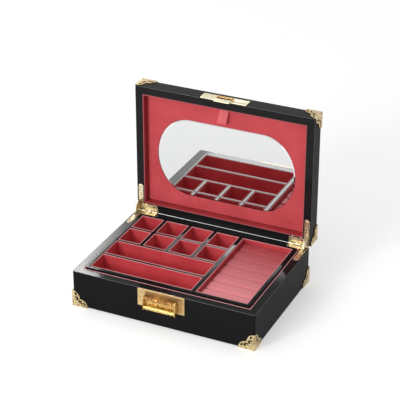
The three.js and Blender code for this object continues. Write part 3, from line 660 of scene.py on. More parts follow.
ASKEW = 0.13
tab_low, tab_high = box_mm("pull_tab")
root, fold = shut_y(tab_high.z), shut_y(tab_low.z) - 1.5
door, out = shut_z(tab_high.y), shut_z(tab_low.y)
loop = [(root + 0.1, door - 0.4), (root + 6, door - 0.8), (fold - 5, door - 2.0), (fold - 1.5, door - 2.9),
        (fold + 0.4, out - 0.4), (fold + 0.2, out - 1.8), (fold - 2, out - 2.0), (fold - 6, out - 0.9),
        (root + 8, out + 0.5), (root + 4, door - 1.7), (root + 0.1, door - 1.25)]
ribbon_tab = band("ribbon_tab", loop, (tab_low.x, tab_high.x - 2), 0.7)
for vertex in ribbon_tab.data.vertices:
    vertex.co.x -= ASKEW * max(vertex.co.y - root * MM, 0)
tell(opened(ribbon_tab))

# %% [markdown]
# Stamped brass
# The corners, plates and hinge leaves are stamped from sheet brass, so they start as a flat
# outline with holes in it. A filled flat curve gives exactly that: an outline, its holes, a
# thickness and a small rounding along every edge.


# %% Make a plate from an outline
def drawn(name, outlines, z, closed, **settings):
    """A curve through points in x and y, turned into a mesh."""
    curve = bpy.data.curves.new(name, "CURVE")
    for key, value in settings.items():
        setattr(curve, key, value)
    for points in outlines:
        spline = curve.splines.new("POLY")
        spline.points.add(len(points) - 1)
        for target_point, (a, b) in zip(spline.points, points):
            target_point.co = (a * MM, b * MM, z * MM, 1)
        spline.use_cyclic_u = closed
    piece = bpy.data.objects.new(name, curve)
    bpy.context.collection.objects.link(piece)
    only(piece)
    bpy.ops.object.convert(target="MESH")
    piece = bpy.context.object
    piece.name = piece.data.name = name
    return piece


def plate(name, outlines, low, high, rounding):
    """A flat plate in x and y. The first outline is its edge, the others are holes."""
    piece = drawn(name, outlines, 0, True, dimensions="2D", fill_mode="BOTH", bevel_resolution=2,
                  extrude=((high - low) / 2 - rounding) * MM, bevel_depth=rounding * MM,
                  offset=-rounding * MM)
    piece.location = (0, 0, (low + high) / 2 * MM)
    return smooth(outward(settle(piece)), 35)


def wire(name, points, radius, z, closed=False):
    """A raised bead that follows points in x and y."""
    return settle(drawn(name, [points], z, closed, dimensions="3D", bevel_depth=radius * MM,
                        bevel_resolution=3, use_fill_caps=True))


def arc(middle, radius, start, end, steps):
    """Points on an arc, from one angle to another in degrees."""
    angles = [math.radians(start + (end - start) * n / steps) for n in range(steps + 1)]
    return [(middle[0] + radius * math.cos(a), middle[1] + radius * math.sin(a)) for a in angles]


FACE_FRONT = Matrix(((1, 0, 0, 0), (0, 0, -1, 0), (0, 1, 0, 0), (0, 0, 0, 1)))
FACE_SIDE = Matrix(((0, 0, 1, 0), (1, 0, 0, 0), (0, 1, 0, 0), (0, 0, 0, 1)))


def turned(piece, matrix, shift=(0, 0, 0)):
    settle(piece)
    piece.data.transform(Matrix.Translation(Vector(shift) * MM) @ matrix)
    return piece


# %% [markdown]
# Brass corners
# Each corner is three stamped faces with a two-lobed edge, pierced by two scrolls and two
# drops, with a raised border and small domes, some of them at the middle of the scrolls. The
# faces, borders and domes are put together and then remeshed, which melts them into one
# pressing with soft inside corners. One corner is made, and the other seven are mirror images.

# %% The shapes in a corner
LEG, LOBE, SHEET, STAND = 21.8, 10.3, 0.8, 0.3
SCROLL_AT, DROP_AT = (10.4, 5.0), (17.1, 4.6)
SCROLL_STEPS, DROP_STEPS = 14, 16
BOSSES = ((SCROLL_AT, 1.1), ((20.2, 1.5), 0.7), ((3.2, 3.2), 0.9), ((6.6, 1.1), 0.6), ((14.4, 1.0), 0.6))


def scroll(middle, inner, outer, start, turn):
    end = start + turn
    return arc(middle, outer, start, end, SCROLL_STEPS) + arc(middle, inner, end, start, SCROLL_STEPS)


def drop(middle, long, short, tilt):
    """A drop, pointed at one end, with its long axis tilted by an angle in degrees."""
    cos_t, sin_t = math.cos(math.radians(tilt)), math.sin(math.radians(tilt))
    points = []
    for n in range(DROP_STEPS):
        a = 2 * math.pi * n / DROP_STEPS
        u, v = long * math.cos(a), short * math.sin(a) * (1 - 0.35 * math.cos(a))
        points.append((middle[0] + u * cos_t - v * sin_t, middle[1] + u * sin_t + v * cos_t))
    return points


def swapped(points):
    return [(b, a) for a, b in reversed(points)]


def grown(points, by):
    """The same loop, pushed outwards from its middle line by a small step."""
    count = len(points)
    out = []
    for n, (a, b) in enumerate(points):
        before, after = points[n - 1], points[(n + 1) % count]
        run = Vector((after[0] - before[0], after[1] - before[1])).normalized()
        out.append((a + run.y * by, b - run.x * by))
    return out


def dome(middle, radius, height, z):
    """A small round boss that stands on height z."""
    piece = made("boss", bpy.ops.mesh.primitive_uv_sphere_add, segments=16, ring_count=8, radius=radius * MM,
                 location=(middle[0] * MM, middle[1] * MM, z * MM))
    piece.scale.z = height / radius
    return settle(piece)


# %% Model one corner and mirror it
def corner_face():
    """One face, with the case's corner at the origin and the sheet just below z = 0."""
    edge, middle = STAND + SHEET, LEG - LOBE
    waist = (middle + math.sqrt(2 * LOBE ** 2 - middle ** 2)) / 2
    bend = math.degrees(math.atan2(waist, waist - middle))
    outline = [(-edge, -edge), (LEG, -edge)] + arc((middle, 0), LOBE, 0, bend, 14)
    outline += arc((0, middle), LOBE, 90 - bend, 90, 14)[1:] + [(-edge, LEG)]
    holes = [scroll(SCROLL_AT, 1.15, 3.2, -55, 225), drop(DROP_AT, 2.5, 1.25, 155)]
    holes += [swapped(points) for points in holes]
    parts = [plate("face", [outline] + holes, -edge, -STAND, 0.12)]
    border = [(LEG - 0.5, 0.2)] + arc((middle, 0), LOBE - 0.5, 4, bend - 1, 14)
    border += arc((0, middle), LOBE - 0.5, 91 - bend, 86, 14) + [(0.2, LEG - 0.5)]
    parts.append(wire("border", border, 0.38, 0.12 - edge))
    parts += [wire("hole_rim", grown(points, 0.25), 0.2, 0.05 - edge, closed=True) for points in holes]
    for (a, b), radius in BOSSES:
        parts += [dome(place, radius, 0.35, -edge) for place in dict.fromkeys(((a, b), (b, a)))]
    return join("corner_face", *parts)


PRESSING_VOXEL, KEPT_SHARE = 0.00022, 0.22
flat_face = corner_face()
side_face = copied(flat_face, "side_face", FACE_SIDE)
end_face = copied(flat_face, "end_face", FACE_SIDE @ FACE_SIDE)
corner = join("corner", flat_face, side_face, end_face)
use(corner, "REMESH", mode="VOXEL", voxel_size=PRESSING_VOXEL, adaptivity=0)
use(corner, "SMOOTH", factor=0.5, iterations=2)
use(corner, "DECIMATE", decimate_type="COLLAPSE", ratio=KEPT_SHARE)
smooth(corner, 60)
tell(corner)

corners = {}
for half, z, inward in (("base", shell_low.z, 1), ("lid", LID_TOP, -1)):
    for end_name, end in (("front", -1), ("back", 1)):
        for side_name, side in SIDES:
            place = Matrix.Translation(Vector((side * HALF_WIDTH, end * HALF_DEPTH, z)) * MM)
            flip = Matrix.Diagonal((-side, -end, inward, 1))
            piece = copied(corner, f"brass_corner_{half}_{end_name}_{side_name}", place @ flip)
            corners[f"{half}_corner_{end_name}_{side_name}"] = opened(piece) if half == "lid" else piece
remove(corner)

# %% [markdown]
# Lock plate and latch
# The plate on the base carries a knuckle. A pin through it holds the flap, which has a cheek
# at each side, a lip along its free edge and a twisted bar to grip. The bar is a rod with
# three lobes, and the twist of a Simple Deform turns it into rope.

# %% Model the lock plate
LATCH_Y, LATCH_Z = -HALF_DEPTH - 5.3, RIM - 10
PLATE_STAND, PLATE_THICK, PLATE_CORNER = 0.3, 1.2, 0.8
ROLL_RADIUS, KNUCKLES = 2.6, ((-9.5, -0.3), (0.3, 9.5))


def tablet(name, x, z, border=1.5):
    """A plate on the front face with a raised, bevelled border."""
    front = -HALF_DEPTH - PLATE_STAND - PLATE_THICK
    piece = box(name, x, (front, front + PLATE_THICK), z)
    pick(piece, "FACE", lambda c, n: n.y < -0.9)
    inset(border)
    inset(0.35)
    bpy.ops.transform.translate(value=(0, 0.25 * MM, 0))
    round_edges(piece, PLATE_CORNER, 4, lambda c, d: along(d.y))
    edge = PLATE_CORNER + 0.02
    round_edges(piece, 0.35, 3, lambda c, d: near(c.y, front) and across(d.y)
                and min(abs(c.x - x[0]), abs(c.x - x[1]), abs(c.z - z[0]), abs(c.z - z[1])) < edge)
    return smooth(piece, 40)


def barrel_row(name, spans, foot=None):
    """Short rolls of brass round the pin, with rounded ends. A foot ties them to the plate."""
    rolls = []
    for x in spans:
        roll = rod("roll", ROLL_RADIUS, (x[0], LATCH_Y, LATCH_Z), (x[1], LATCH_Y, LATCH_Z))
        if foot:
            block = box("foot", (x[0] + 0.05, x[1] - 0.05), foot, (LATCH_Z - 1.6, LATCH_Z + 1.6))
            use(roll, "BOOLEAN", operation="UNION", solver="EXACT", object=block)
            remove(block)
        cut(roll, rod("pin_hole", 1.15, (x[0] - 1, LATCH_Y, LATCH_Z), (x[1] + 1, LATCH_Y, LATCH_Z), 24))
        rolls.append(soften(roll, 0.22, 2, 50))
    return join(name, *rolls)


lock_low, lock_high = box_mm("lock_plate")
brass_plate = tablet("brass_plate", (lock_low.x, lock_high.x), (lock_low.z, lock_high.z))
knuckle_piece = barrel_row("lock_knuckle", KNUCKLES, (LATCH_Y, -HALF_DEPTH - 1.4))
tell(brass_plate, knuckle_piece)

# %% Model the latch flap
FREE_EDGE = LATCH_Z - 18
WEB_NEAR, WEB_FAR = 1.8, 3.0
WEB_BACK, WEB_FACE = -HALF_DEPTH - WEB_NEAR, -HALF_DEPTH - WEB_FAR
CHEEK, CHEEK_ROUND, GAP_HALF = 1.2, 3.4, 9.8
half_flap = box_mm("latch_flap")[1].x
gap_low = LATCH_Z - 3.2

web_outline = [(-half_flap, FREE_EDGE), (half_flap, FREE_EDGE), (half_flap, LATCH_Z), (GAP_HALF, LATCH_Z),
               (GAP_HALF, gap_low), (-GAP_HALF, gap_low), (-GAP_HALF, LATCH_Z), (-half_flap, LATCH_Z)]
web = turned(plate("web", [web_outline], WEB_NEAR, WEB_FAR, 0.12), FACE_FRONT, (0, -HALF_DEPTH, 0))
lip_plate = box("lip", (-half_flap, half_flap), (WEB_FACE - 2, WEB_BACK), (FREE_EDGE, FREE_EDGE + 1.2))
soften(lip_plate, 0.3, 3)
cheek_outline = [(LATCH_Y + CHEEK_ROUND, FREE_EDGE)] + arc((LATCH_Y, LATCH_Z), CHEEK_ROUND, 0, 180, 20)
cheek_outline += [(LATCH_Y - CHEEK_ROUND, FREE_EDGE + 2), (LATCH_Y - 1.4, FREE_EDGE)]
cheeks = [turned(plate("cheek", [cheek_outline], *on_side(side, half_flap, half_flap - CHEEK), 0.15),
                 FACE_SIDE) for _, side in SIDES]
flap_piece = smooth(join("latch_flap_brass", web, lip_plate, *cheeks), 40)
flap_rolls = barrel_row("flap_rolls", [on_side(side, GAP_HALF, half_flap - 1.3) for _, side in SIDES])
tell(flap_piece, flap_rolls)

# %% Model the grip and the pin
STEPS, TURNS, LOBES = 72, 2, 3
grip_low, grip_high = box_mm("latch_grip_bar")
grip_length = grip_high.x - grip_low.x
grip = made("twisted_grip", bpy.ops.mesh.primitive_circle_add, vertices=36, radius=2.15 * MM,
            fill_type="NGON")
for vertex in grip.data.vertices:
    angle = math.atan2(vertex.co.y, vertex.co.x)
    lobed = 1 + 0.2 * abs(math.cos(LOBES / 2 * angle)) ** 1.5
    vertex.co = Vector((vertex.co.x * lobed, vertex.co.y * lobed, 0))
pick(grip, "FACE", lambda c, n: True)
for _ in range(STEPS):
    extrude(0, 0, grip_length / STEPS)
outward(grip)
use(grip, "SIMPLE_DEFORM", deform_method="TWIST", angle=TURNS * 2 * math.pi, deform_axis="Z")
grip.data.transform(Matrix.Translation((grip_low + grip_high) / 2 * MM) @ Matrix.Rotation(math.pi / 2, 4, "Y")
                    @ Matrix.Translation((0, 0, -grip_length / 2 * MM)))
smooth(grip, 60)

pin_low, pin_high = box_mm("latch_pin")
pin_ends = [(x, LATCH_Y, LATCH_Z) for x in (pin_low.x + 0.1, pin_high.x - 0.1)]
latch_pin = soften(rod("latch_pin_brass", 1, *pin_ends), 0.3, 3)
tell(grip, latch_pin)

# %% [markdown]
# Strike plate
# The lid's half of the lock is a plate with a tongue, which reaches down over the plate on the
# base, and a curled keeper above it. The keeper is a strip that is drawn out along an arc.

# %% Model the strike plate, its tongue and its keeper
STRIKE, TONGUE, KEEPER, CURL = (-33.3, 33.3), (-11.5, 11.5), (-10.2, 10.2), 2.45
strike_top, tongue_top = LID_RIM + 14.4, LID_RIM + 6
strike_tablet = tablet("strike_tablet", STRIKE, (LID_RIM, strike_top), 1.2)
tongue = box("tongue", TONGUE, (WEB_FACE, WEB_BACK), (RIM - 6, tongue_top))
round_edges(tongue, 1, 4, lambda c, d: along(d.y) and c.z < RIM)
round_edges(tongue, 0.35, 3, lambda c, d: near(c.y, WEB_FACE) and across(d.y))
tongue_root = box("tongue_root", TONGUE, (WEB_FACE, -HALF_DEPTH - 0.5), (LID_RIM + 2, tongue_top))
soften(tongue_root, 0.3, 2)

curl_middle = -HALF_DEPTH - 1.2, LID_RIM + 8.6
keeper = band("keeper", arc(curl_middle, CURL, 95, 238, 10), KEEPER, 0.9, 1)
ear_outline = arc(curl_middle, 3.0, 80, 280, 18)
ears = [turned(plate("ear", [ear_outline], *on_side(side, 10.1, 11), 0.15), FACE_SIDE) for _, side in SIDES]
strike_piece = opened(smooth(join("strike_plate_brass", strike_tablet, tongue, tongue_root), 40))
keeper_piece = opened(smooth(join("strike_keeper", keeper, *ears), 40))
tell(strike_piece, keeper_piece)

# %% [markdown]
# Hinges
# Each hinge is two L-shaped leaves let into the rims, with two small points along the back
# leg, knuckles round a pin, and a quarter disc on the lid's leaf that stops the lid when it
# stands upright. The leaf is one outline, stamped twice, and the one on the base gets a slot
# that the disc sinks into when the lid shuts.

# %% The shapes in a hinge
POINT_HALF, KNUCKLE_GAP, HEAD_SINK = 2.6, 0.3, 0.1


def leaf(name, z):
    """The stamped L, with a round end at its screw and two points along the back leg."""
    points = [(LEAF_END, LEAF_BACK), (LEAF_END, LEAF_INNER)]
    for share in (0.22, 0.78):
        x = LEAF_END + share * (LEAF_IN - LEAF_END)
        point = arc((x, LEAF_INNER - 0.1), 1.7, 180, 360, 8)[1:-1]
        points += [(x - POINT_HALF, LEAF_INNER)] + point + [(x + POINT_HALF, LEAF_INNER)]
    # The inner corner lies a hair off the line of the points, which the fill of the curve needs.
    points += [(LEAF_IN, LEAF_INNER + 0.02)] + arc((SCREW_X, SCREW_Y), LEAF_WIDE / 2, 180, 360, 16)
    return plate(name, [points + [(LEAF_OUT, LEAF_BACK)]], *z, 0.15)


def quadrant_slot():
    """The room that the quarter disc needs in the base leaf, open at the leaf's back edge."""
    return box("quadrant_slot", (QUADRANT_X - SLOT, QUADRANT_X + SLOT),
               (HINGE_Y - QUADRANT - 0.35, HALF_DEPTH - 1), (RIM - 2, RIM + OVERRUN))


def knuckles(which, z):
    """Barrels round the pin, each with the brass that wraps it. The last one leaves the slot free."""
    third = (LEAF_OUT - LEAF_END) / 3
    parts = []
    for n in which:
        x = (LEAF_END + n * third, LEAF_END + (n + 1) * third - KNUCKLE_GAP)
        barrel = soften(rod("barrel", BARREL, (x[0], HINGE_Y, HINGE_Z), (x[1], HINGE_Y, HINGE_Z)), 0.2, 2)
        wrap = box("wrap", x, (LEAF_BACK - 0.3, HINGE_Y), z)
        if n == 2:
            cut(wrap, quadrant_slot())
        parts += [barrel, wrap]
    return parts


def screw_rod(name, radius, low, high, sides=32):
    return rod(name, radius, (SCREW_X, SCREW_Y, low), (SCREW_X, SCREW_Y, high), sides)


def screw_bed(z, up):
    return screw_rod("screw_bed", 1.95, *sorted((z - up * 0.9, z + up)))


def slotted_screw(name, z, up):
    """A small countersunk screw with one slot, flush with the leaf. Its head looks up or down."""
    top = z - up * HEAD_SINK
    head = screw_rod(name, 1.7, top - up * 0.5, top)
    round_edges(head, 0.22, 3, lambda c, d: near(c.z, top) and across(d.z))
    cut(head, box("slot", (SCREW_X - 2, SCREW_X + 2), (SCREW_Y - 0.22, SCREW_Y + 0.22),
                  sorted((top - up * 0.28, top + up))))
    return smooth(join(name, head, screw_rod("shank", 0.8, top - up * 6.5, top - up * 0.45, 20)), 35)


# %% Model one hinge and put it on both sides
base_plate_z, lid_plate_z = (RIM - LEAF_THICK, RIM), (LID_RIM, LID_RIM + LEAF_THICK)
base_leaf = cut(leaf("base_leaf", base_plate_z), screw_bed(RIM, 1), quadrant_slot())
base_leaf = smooth(join("base_leaf", base_leaf, *knuckles((0, 2), base_plate_z)), 40)
lid_leaf = cut(leaf("lid_leaf", lid_plate_z), screw_bed(LID_RIM, -1))
disc_y = HALF_DEPTH - 1.35
disc_start = 180 - math.degrees(math.asin(0.8 / QUADRANT))
disc_end = 270 - math.degrees(math.asin((HINGE_Y - disc_y) / QUADRANT))
quadrant = [(disc_y, LID_RIM + 0.6)] + arc((HINGE_Y, HINGE_Z), QUADRANT, disc_start, disc_end, 20)
disc = turned(plate("quadrant", [quadrant], QUADRANT_X - 0.8, QUADRANT_X + 0.8, 0.2), FACE_SIDE)
lid_leaf = smooth(join("lid_leaf", lid_leaf, disc, *knuckles((1,), lid_plate_z)), 40)
base_screw = slotted_screw("base_screw", RIM, 1)
lid_screw = slotted_screw("lid_screw", LID_RIM, -1)
hinge_pin = soften(rod("hinge_rod", 0.8, (LEAF_END, HINGE_Y, HINGE_Z), (LEAF_OUT, HINGE_Y, HINGE_Z)), 0.2, 2)

hinge_pieces = {}
for source, node in ((base_leaf, "hinge_base_leaf"), (lid_leaf, "hinge_lid_leaf"),
                     (base_screw, "hinge_base_screw"), (lid_screw, "hinge_lid_screw"),
                     (hinge_pin, "hinge_pin")):
    for side_name, side in SIDES:
        piece = copied(source, f"brass_{node}_{side_name}", Matrix.Diagonal((side, 1, 1, 1)))
        hinge_pieces[f"{node}_{side_name}"] = opened(piece) if "lid" in node else piece
    remove(source)
print("hinge pieces:", len(hinge_pieces))

# %% [markdown]
# Materials
# A small class wraps a shader socket, so that a pattern is written as a sum and a product and
# not as a list of nodes. Any other node comes from one method, which takes the node's settings
# and then what goes into its sockets.


# %% The sums of sockets
class Wire:
    """A socket of a node tree, with the sums that are used here."""

    def __init__(self, tree, socket):
        self.tree, self.socket = tree, socket

    def __add__(self, other):
        return self.tree.math("ADD", self, other)

    def __mul__(self, other):
        return self.tree.math("MULTIPLY", self, other)

    def __rsub__(self, other):
        return self.tree.math("SUBTRACT", other, self)


# %% Node trees and finishes
class Nodes:
    """A node tree of a material, a lamp or the world."""

    def __init__(self, owner):
        owner.use_nodes = True
        self.nodes = owner.node_tree.nodes
        self.links = owner.node_tree.links

    def node(self, kind, settings=None, inputs=None, output=0):
        made_node = self.nodes.new(kind)
        for key, value in (settings or {}).items():
            if key == "stops":
                for element, (position, color) in zip(made_node.color_ramp.elements, value):
                    element.position, element.color = position, color
            else:
                setattr(made_node, key, value)
        for key, value in (inputs or {}).items():
            if isinstance(value, Wire):
                self.links.new(value.socket, made_node.inputs[key])
            else:
                made_node.inputs[key].default_value = value
        return Wire(self, made_node.outputs[output])

    def math(self, operation, first, second):
        return self.node("ShaderNodeMath", {"operation": operation}, {0: first, 1: second})

    def split(self, vector, output):
        """One share of a vector, by its letter."""
        return self.node("ShaderNodeSeparateXYZ", {}, {0: vector}, "XYZ".index(output))

    def mix(self, factor, first, second):
        return self.node("ShaderNodeMix", {"data_type": "RGBA"}, {0: factor, 6: first, 7: second}, 2)

    def fit(self, value, start, end, low, high):
        """Stretch the range start to end to the range low to high."""
        return self.node("ShaderNodeMapRange", {}, {"Value": value, "From Min": start, "From Max": end,
                                                    "To Min": low, "To Max": high})


class Finish(Nodes):
    """A material with one Principled shader."""

    def __init__(self, name, **sockets):
        self.material = bpy.data.materials.new(name)
        super().__init__(self.material)
        self.shader = self.nodes["Principled BSDF"]
        for key, value in sockets.items():
            self.shader.inputs[key.replace("_", " ").title().replace("Ior", "IOR")].default_value = value
        self.place = self.node("ShaderNodeTexCoord", output="Object")

    def noise(self, scale, detail, roughness):
        return self.node("ShaderNodeTexNoise", {}, {"Vector": self.place, "Scale": scale, "Detail": detail,
                                                    "Roughness": roughness})

    def feed(self, socket, wire):
        self.links.new(wire.socket, self.shader.inputs[socket])

    def bump(self, height, strength, distance):
        self.feed("Normal", self.node("ShaderNodeBump", {}, {"Height": height, "Strength": strength,
                                                             "Distance": distance}))


def grey(value, blue=0):
    """A grey, or one that leans a little to blue."""
    return value, value, value + blue, 1


# %% [markdown]
# Lacquer
# Black lacquer is a dark body under a clear hard coat. Faint wipe marks make the shine vary a
# little, and a very slow ripple keeps a long reflection from being ruler straight. On the case
# only the rims and the front of the lid are polished to a full shine, and the broad sides are satin.
# Along the rounded edges a grey line is painted in as a highlight. The faces carry notes of both, so the
# coat, the roughness and the colour follow them.


# %% Make the lacquers
def lacquered(name, specular, dark, light, noted=False):
    """A lacquer, which is polished, and given a painted edge highlight, by the notes on the faces where they
    have them.
    """
    gloss = Finish(name, base_color=light, roughness=0.05, specular_ior_level=specular, coat_roughness=0.05)
    wipe = gloss.noise(9, 4, 0.6)
    roughness, color = gloss.fit(wipe, 0.35, 0.7, 0.03, 0.085), gloss.mix(wipe, dark, light)
    if noted:
        polish, rubbed = (gloss.node("ShaderNodeAttribute", {"attribute_name": note}, output=2)
                          for note in ("polish", "rubbed"))
        gloss.feed("Coat Weight", polish * 0.155)
        roughness = roughness + (1 - polish) * 0.25
        # The grey mixed in along the noted edges is a painted highlight.
        color = gloss.mix(rubbed * gloss.fit(wipe, 0.3, 0.6, 0.5, 1), color, grey(0.22, 0.005))
    gloss.feed("Roughness", roughness)
    gloss.feed("Base Color", color)
    gloss.bump(gloss.noise(26, 2, 0.5), 0.04, 0.0004)
    return gloss


tray_lacquer = lacquered("strip_lacquer", 0.06, grey(0.006, 0.0005), grey(0.010, 0.0005))
case_lacquer = lacquered("case_lacquer", 0.02, grey(0.0105, 0.0005), grey(0.015, 0.0005), noted=True)
print("lacquers:", tray_lacquer.material.name, case_lacquer.material.name)

# %% [markdown]
# Velvet
# Velvet is a short pile. Brushed one way it looks lighter and the other way darker, in soft
# patches, and its edges look pale because there the pile is seen from the side. Sheen gives
# that bloom, slow noise gives the patches and fine noise gives the pile. Where the cloth folds
# over the top of a lining, a mask by height paints the lip pale, a painted highlight.
# The ring cushion is painted paler to the front by the same kind of mask, a painted reflection.


# %% Make the velvets
def velvet(name, dark, light, sheen, tint, roughness=0.9, specular=0.15, painted_light_fade=None):
    """A velvet. The last argument paints light on: an axis, where on it the paler colour starts and is full,
    and that colour.
    """
    cloth = Finish(name, base_color=light, roughness=roughness, sheen_weight=sheen, sheen_roughness=0.35,
                   sheen_tint=tint, specular_ior_level=specular)
    fibre = cloth.noise(2600, 2, 0.6)
    shade = cloth.noise(28, 3, 0.55) * 0.7 + fibre * 0.3
    tone = cloth.node("ShaderNodeValToRGB", {"stops": [(0.3, dark), (0.7, light)]}, {"Fac": shade})
    # The paler colour is painted light: a highlight on the lips and a reflection on the cushion.
    if painted_light_fade:
        axis, start, full, pale = painted_light_fade
        tone = cloth.mix(cloth.fit(cloth.split(cloth.place, axis), start * MM, full * MM, 0, 1), tone, pale)
    cloth.feed("Base Color", tone)
    cloth.bump(fibre, 0.35, 0.00025)
    return cloth


DEEP, LIVELY, BLOOM = (0.46, 0.038, 0.047, 1), (0.64, 0.076, 0.090, 1), (1, 0.62, 0.64, 1)
LIP_START, LIP_FULL = 0.9, 0.3
tray_lip, base_lip = box_mm("cell_lining_1_1")[1].z, box_mm("base_lining")[1].z
lid_lip = box_mm("lid_lining")[0].y
# The pale colour at each lining's lip is a painted highlight.
pocket_velvet = velvet("pocket_velvet", DEEP, LIVELY, 0.3, BLOOM,
                       painted_light_fade=("Z", tray_lip - LIP_START, tray_lip - LIP_FULL, (0.66, 0.30, 0.31, 1)))
base_cloth = velvet("base_velvet_cloth", DEEP, LIVELY, 0.3, BLOOM,
                    painted_light_fade=("Z", base_lip - LIP_START, base_lip - LIP_FULL, (0.80, 0.36, 0.38, 1)))
# The lid's velvet is darker than the others and its lip less pale: painted shade for the hollow of the lid.
lid_cloth = velvet("lid_velvet_cloth", (0.30, 0.022, 0.028, 1), (0.42, 0.04, 0.046, 1), 0.25, BLOOM,
                   painted_light_fade=("Y", lid_lip + LIP_START, lid_lip + LIP_FULL, (0.42, 0.11, 0.12, 1)))
door_velvet = velvet("door_velvet", (0.53, 0.066, 0.075, 1), (0.70, 0.105, 0.120, 1), 0.3, BLOOM)
# The cushion's paler front is a painted reflection of the light in front of it.
cushion_velvet = velvet("cushion_velvet", (0.35, 0.031, 0.037, 1), (0.49, 0.053, 0.061, 1), 0.25,
                        (1, 0.8, 0.82, 1), roughness=0.55, specular=0.3,
                        painted_light_fade=("Y", pad_high.y, pad_low.y, (0.84, 0.295, 0.325, 1)))
ribbon_velvet = velvet("ribbon_velvet", (0.70, 0.13, 0.14, 1), (0.86, 0.2, 0.21, 1), 0.6, (1, 0.75, 0.76, 1))

# %% [markdown]
# Brass
# The stamped parts are brass, and brown where the polish does not reach. The die leaves a fine
# stipple and engraved scrolls, which break up the reflections, so the metal looks almost white
# in one place and dark in the next. The plates are a shade more golden than the corners and the
# latch is deeper. The rolls behind its grip are painted dark, as painted shade.


# %% Make the brasses
def brass(name, light, dark, roughness, engraving=900, stain=(0.40, 0.62), metallic=0.8):
    metal = Finish(name, base_color=(*light, 1), roughness=roughness, metallic=metallic)
    engraved = metal.noise(engraving, 3, 0.65)
    stipple = metal.node("ShaderNodeTexVoronoi", {"feature": "SMOOTH_F1"},
                         {"Vector": metal.place, "Scale": 1500})
    shine = metal.fit(engraved * 0.8 + metal.noise(90, 2, 0.5) * 0.2, *stain, 0, 1)
    metal.feed("Base Color", metal.mix(shine, (*dark, 1), (*light, 1)))
    metal.feed("Roughness", metal.fit(engraved, 0.3, 0.7, roughness + 0.1, roughness - 0.06))
    metal.bump(engraved * 0.6 + stipple * 0.4, 0.6, 0.0004)
    return metal


pale_brass = brass("pale_brass", (0.86, 0.71, 0.41), (0.27, 0.165, 0.06), 0.33, 700, (0.43, 0.56))
leaf_brass = brass("leaf_brass", (0.95, 0.87, 0.60), (0.34, 0.20, 0.09), 0.28, 600, (0.43, 0.55))
strike_brass = brass("strike_brass", (1.0, 0.96, 0.76), (0.72, 0.60, 0.36), 0.3)
plate_brass = brass("plate_brass", (0.82, 0.62, 0.32), (0.50, 0.32, 0.13), 0.34)
latch_brass = brass("latch_brass", (0.98, 0.70, 0.27), (0.30, 0.11, 0.02), 0.3, 800, (0.42, 0.57))
# This dark brass is painted shade, for the rolls round the latch's pin.
shaded_brass = brass("shaded_brass", (0.80, 0.42, 0.12), (0.07, 0.022, 0.006), 0.35, 700, (0.46, 0.58))
grip_brass = brass("grip_brass", (1.0, 0.90, 0.38), (0.62, 0.42, 0.08), 0.2, metallic=0.85)

# %% Make the mirror, board and felt
mirror = Finish("silvered_glass", base_color=(0.71, 0.72, 0.72, 1), roughness=0.02, metallic=1)
mirror.feed("Roughness", mirror.noise(6, 2, 0.5) * 0.02 + 0.004)
board = Finish("plain_board", base_color=(0.3, 0.22, 0.15, 1), roughness=0.85)
board.feed("Base Color", board.mix(board.noise(300, 4, 0.7), (0.24, 0.17, 0.11, 1), (0.36, 0.27, 0.19, 1)))
felt = Finish("black_felt", base_color=grey(0.01, 0.001), roughness=1)
fuzz = felt.noise(1800, 3, 0.7)
felt.feed("Base Color", felt.mix(fuzz, grey(0.006, 0.001), grey(0.02, 0.002)))
felt.bump(fuzz, 0.5, 0.0004)

# %% [markdown]
# Put the pieces in the frame
# Each new piece names the solid that it stands for, the body that it moves with and its
# finish. Solids that no one sees, such as the boards, keep their plain shape.


# %% Place every piece
def dress(piece, finish):
    piece.data.materials.clear()
    piece.data.materials.append(finish.material)


def seat(piece, body, finish, slot, *nodes):
    dress(piece, finish)
    if nodes:
        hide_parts(*nodes)
    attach(piece, body)


seat(case_base, "base", case_lacquer, "lacquer", "base_shell")
seat(case_lid, "lid", case_lacquer, "lacquer", "lid_shell")
seat(base_velvet, "base", base_cloth, "velvet", "base_lining")
seat(lid_velvet, "lid", lid_cloth, "velvet", "lid_lining")
seat(tray_ring, "tray", tray_lacquer, "tray_lacquer", "tray_frame")
for node, piece in strips.items():
    seat(piece, "tray", tray_lacquer, "tray_lacquer", node)
for node, piece in pocket_velvets.items():
    seat(piece, "tray", pocket_velvet, "velvet", node)
seat(ring_cushion, "tray", cushion_velvet, "cushion", "ring_pad")
seat(velvet_door, "door", door_velvet, "door_velvet", "mirror_board")
seat(mirror_glass, "door", mirror, "mirror", "mirror_glass")
seat(ribbon_tab, "tab", ribbon_velvet, "ribbon", "pull_tab")
for node, piece in corners.items():
    seat(piece, "lid" if node.startswith("lid") else "base", pale_brass, "brass", node)
seat(brass_plate, "base", plate_brass, "brass", "lock_plate")
seat(knuckle_piece, "base", shaded_brass, "brass")
seat(flap_piece, "latch", latch_brass, "brass", "latch_flap")
seat(flap_rolls, "latch", shaded_brass, "brass")
seat(grip, "latch", grip_brass, "brass", "latch_grip_bar")
seat(latch_pin, "latch", pale_brass, "brass", "latch_pin")
seat(strike_piece, "lid", strike_brass, "brass", "strike_plate")
seat(keeper_piece, "lid", latch_brass, "brass")
for node, piece in hinge_pieces.items():
    seat(piece, "lid" if "lid" in node else "base", leaf_brass, "brass", node)

plain = {"base_bottom_board": board, "tray_floor": board, "mirror_backing": board, "underside_felt": felt,
         "tray_rest_left": base_cloth, "tray_rest_right": base_cloth, "door_stop_frame": lid_cloth,
         "mirror_pivot_left": pale_brass, "mirror_pivot_right": pale_brass}
for node, finish in plain.items():
    dress(bpy.data.objects[node], finish)

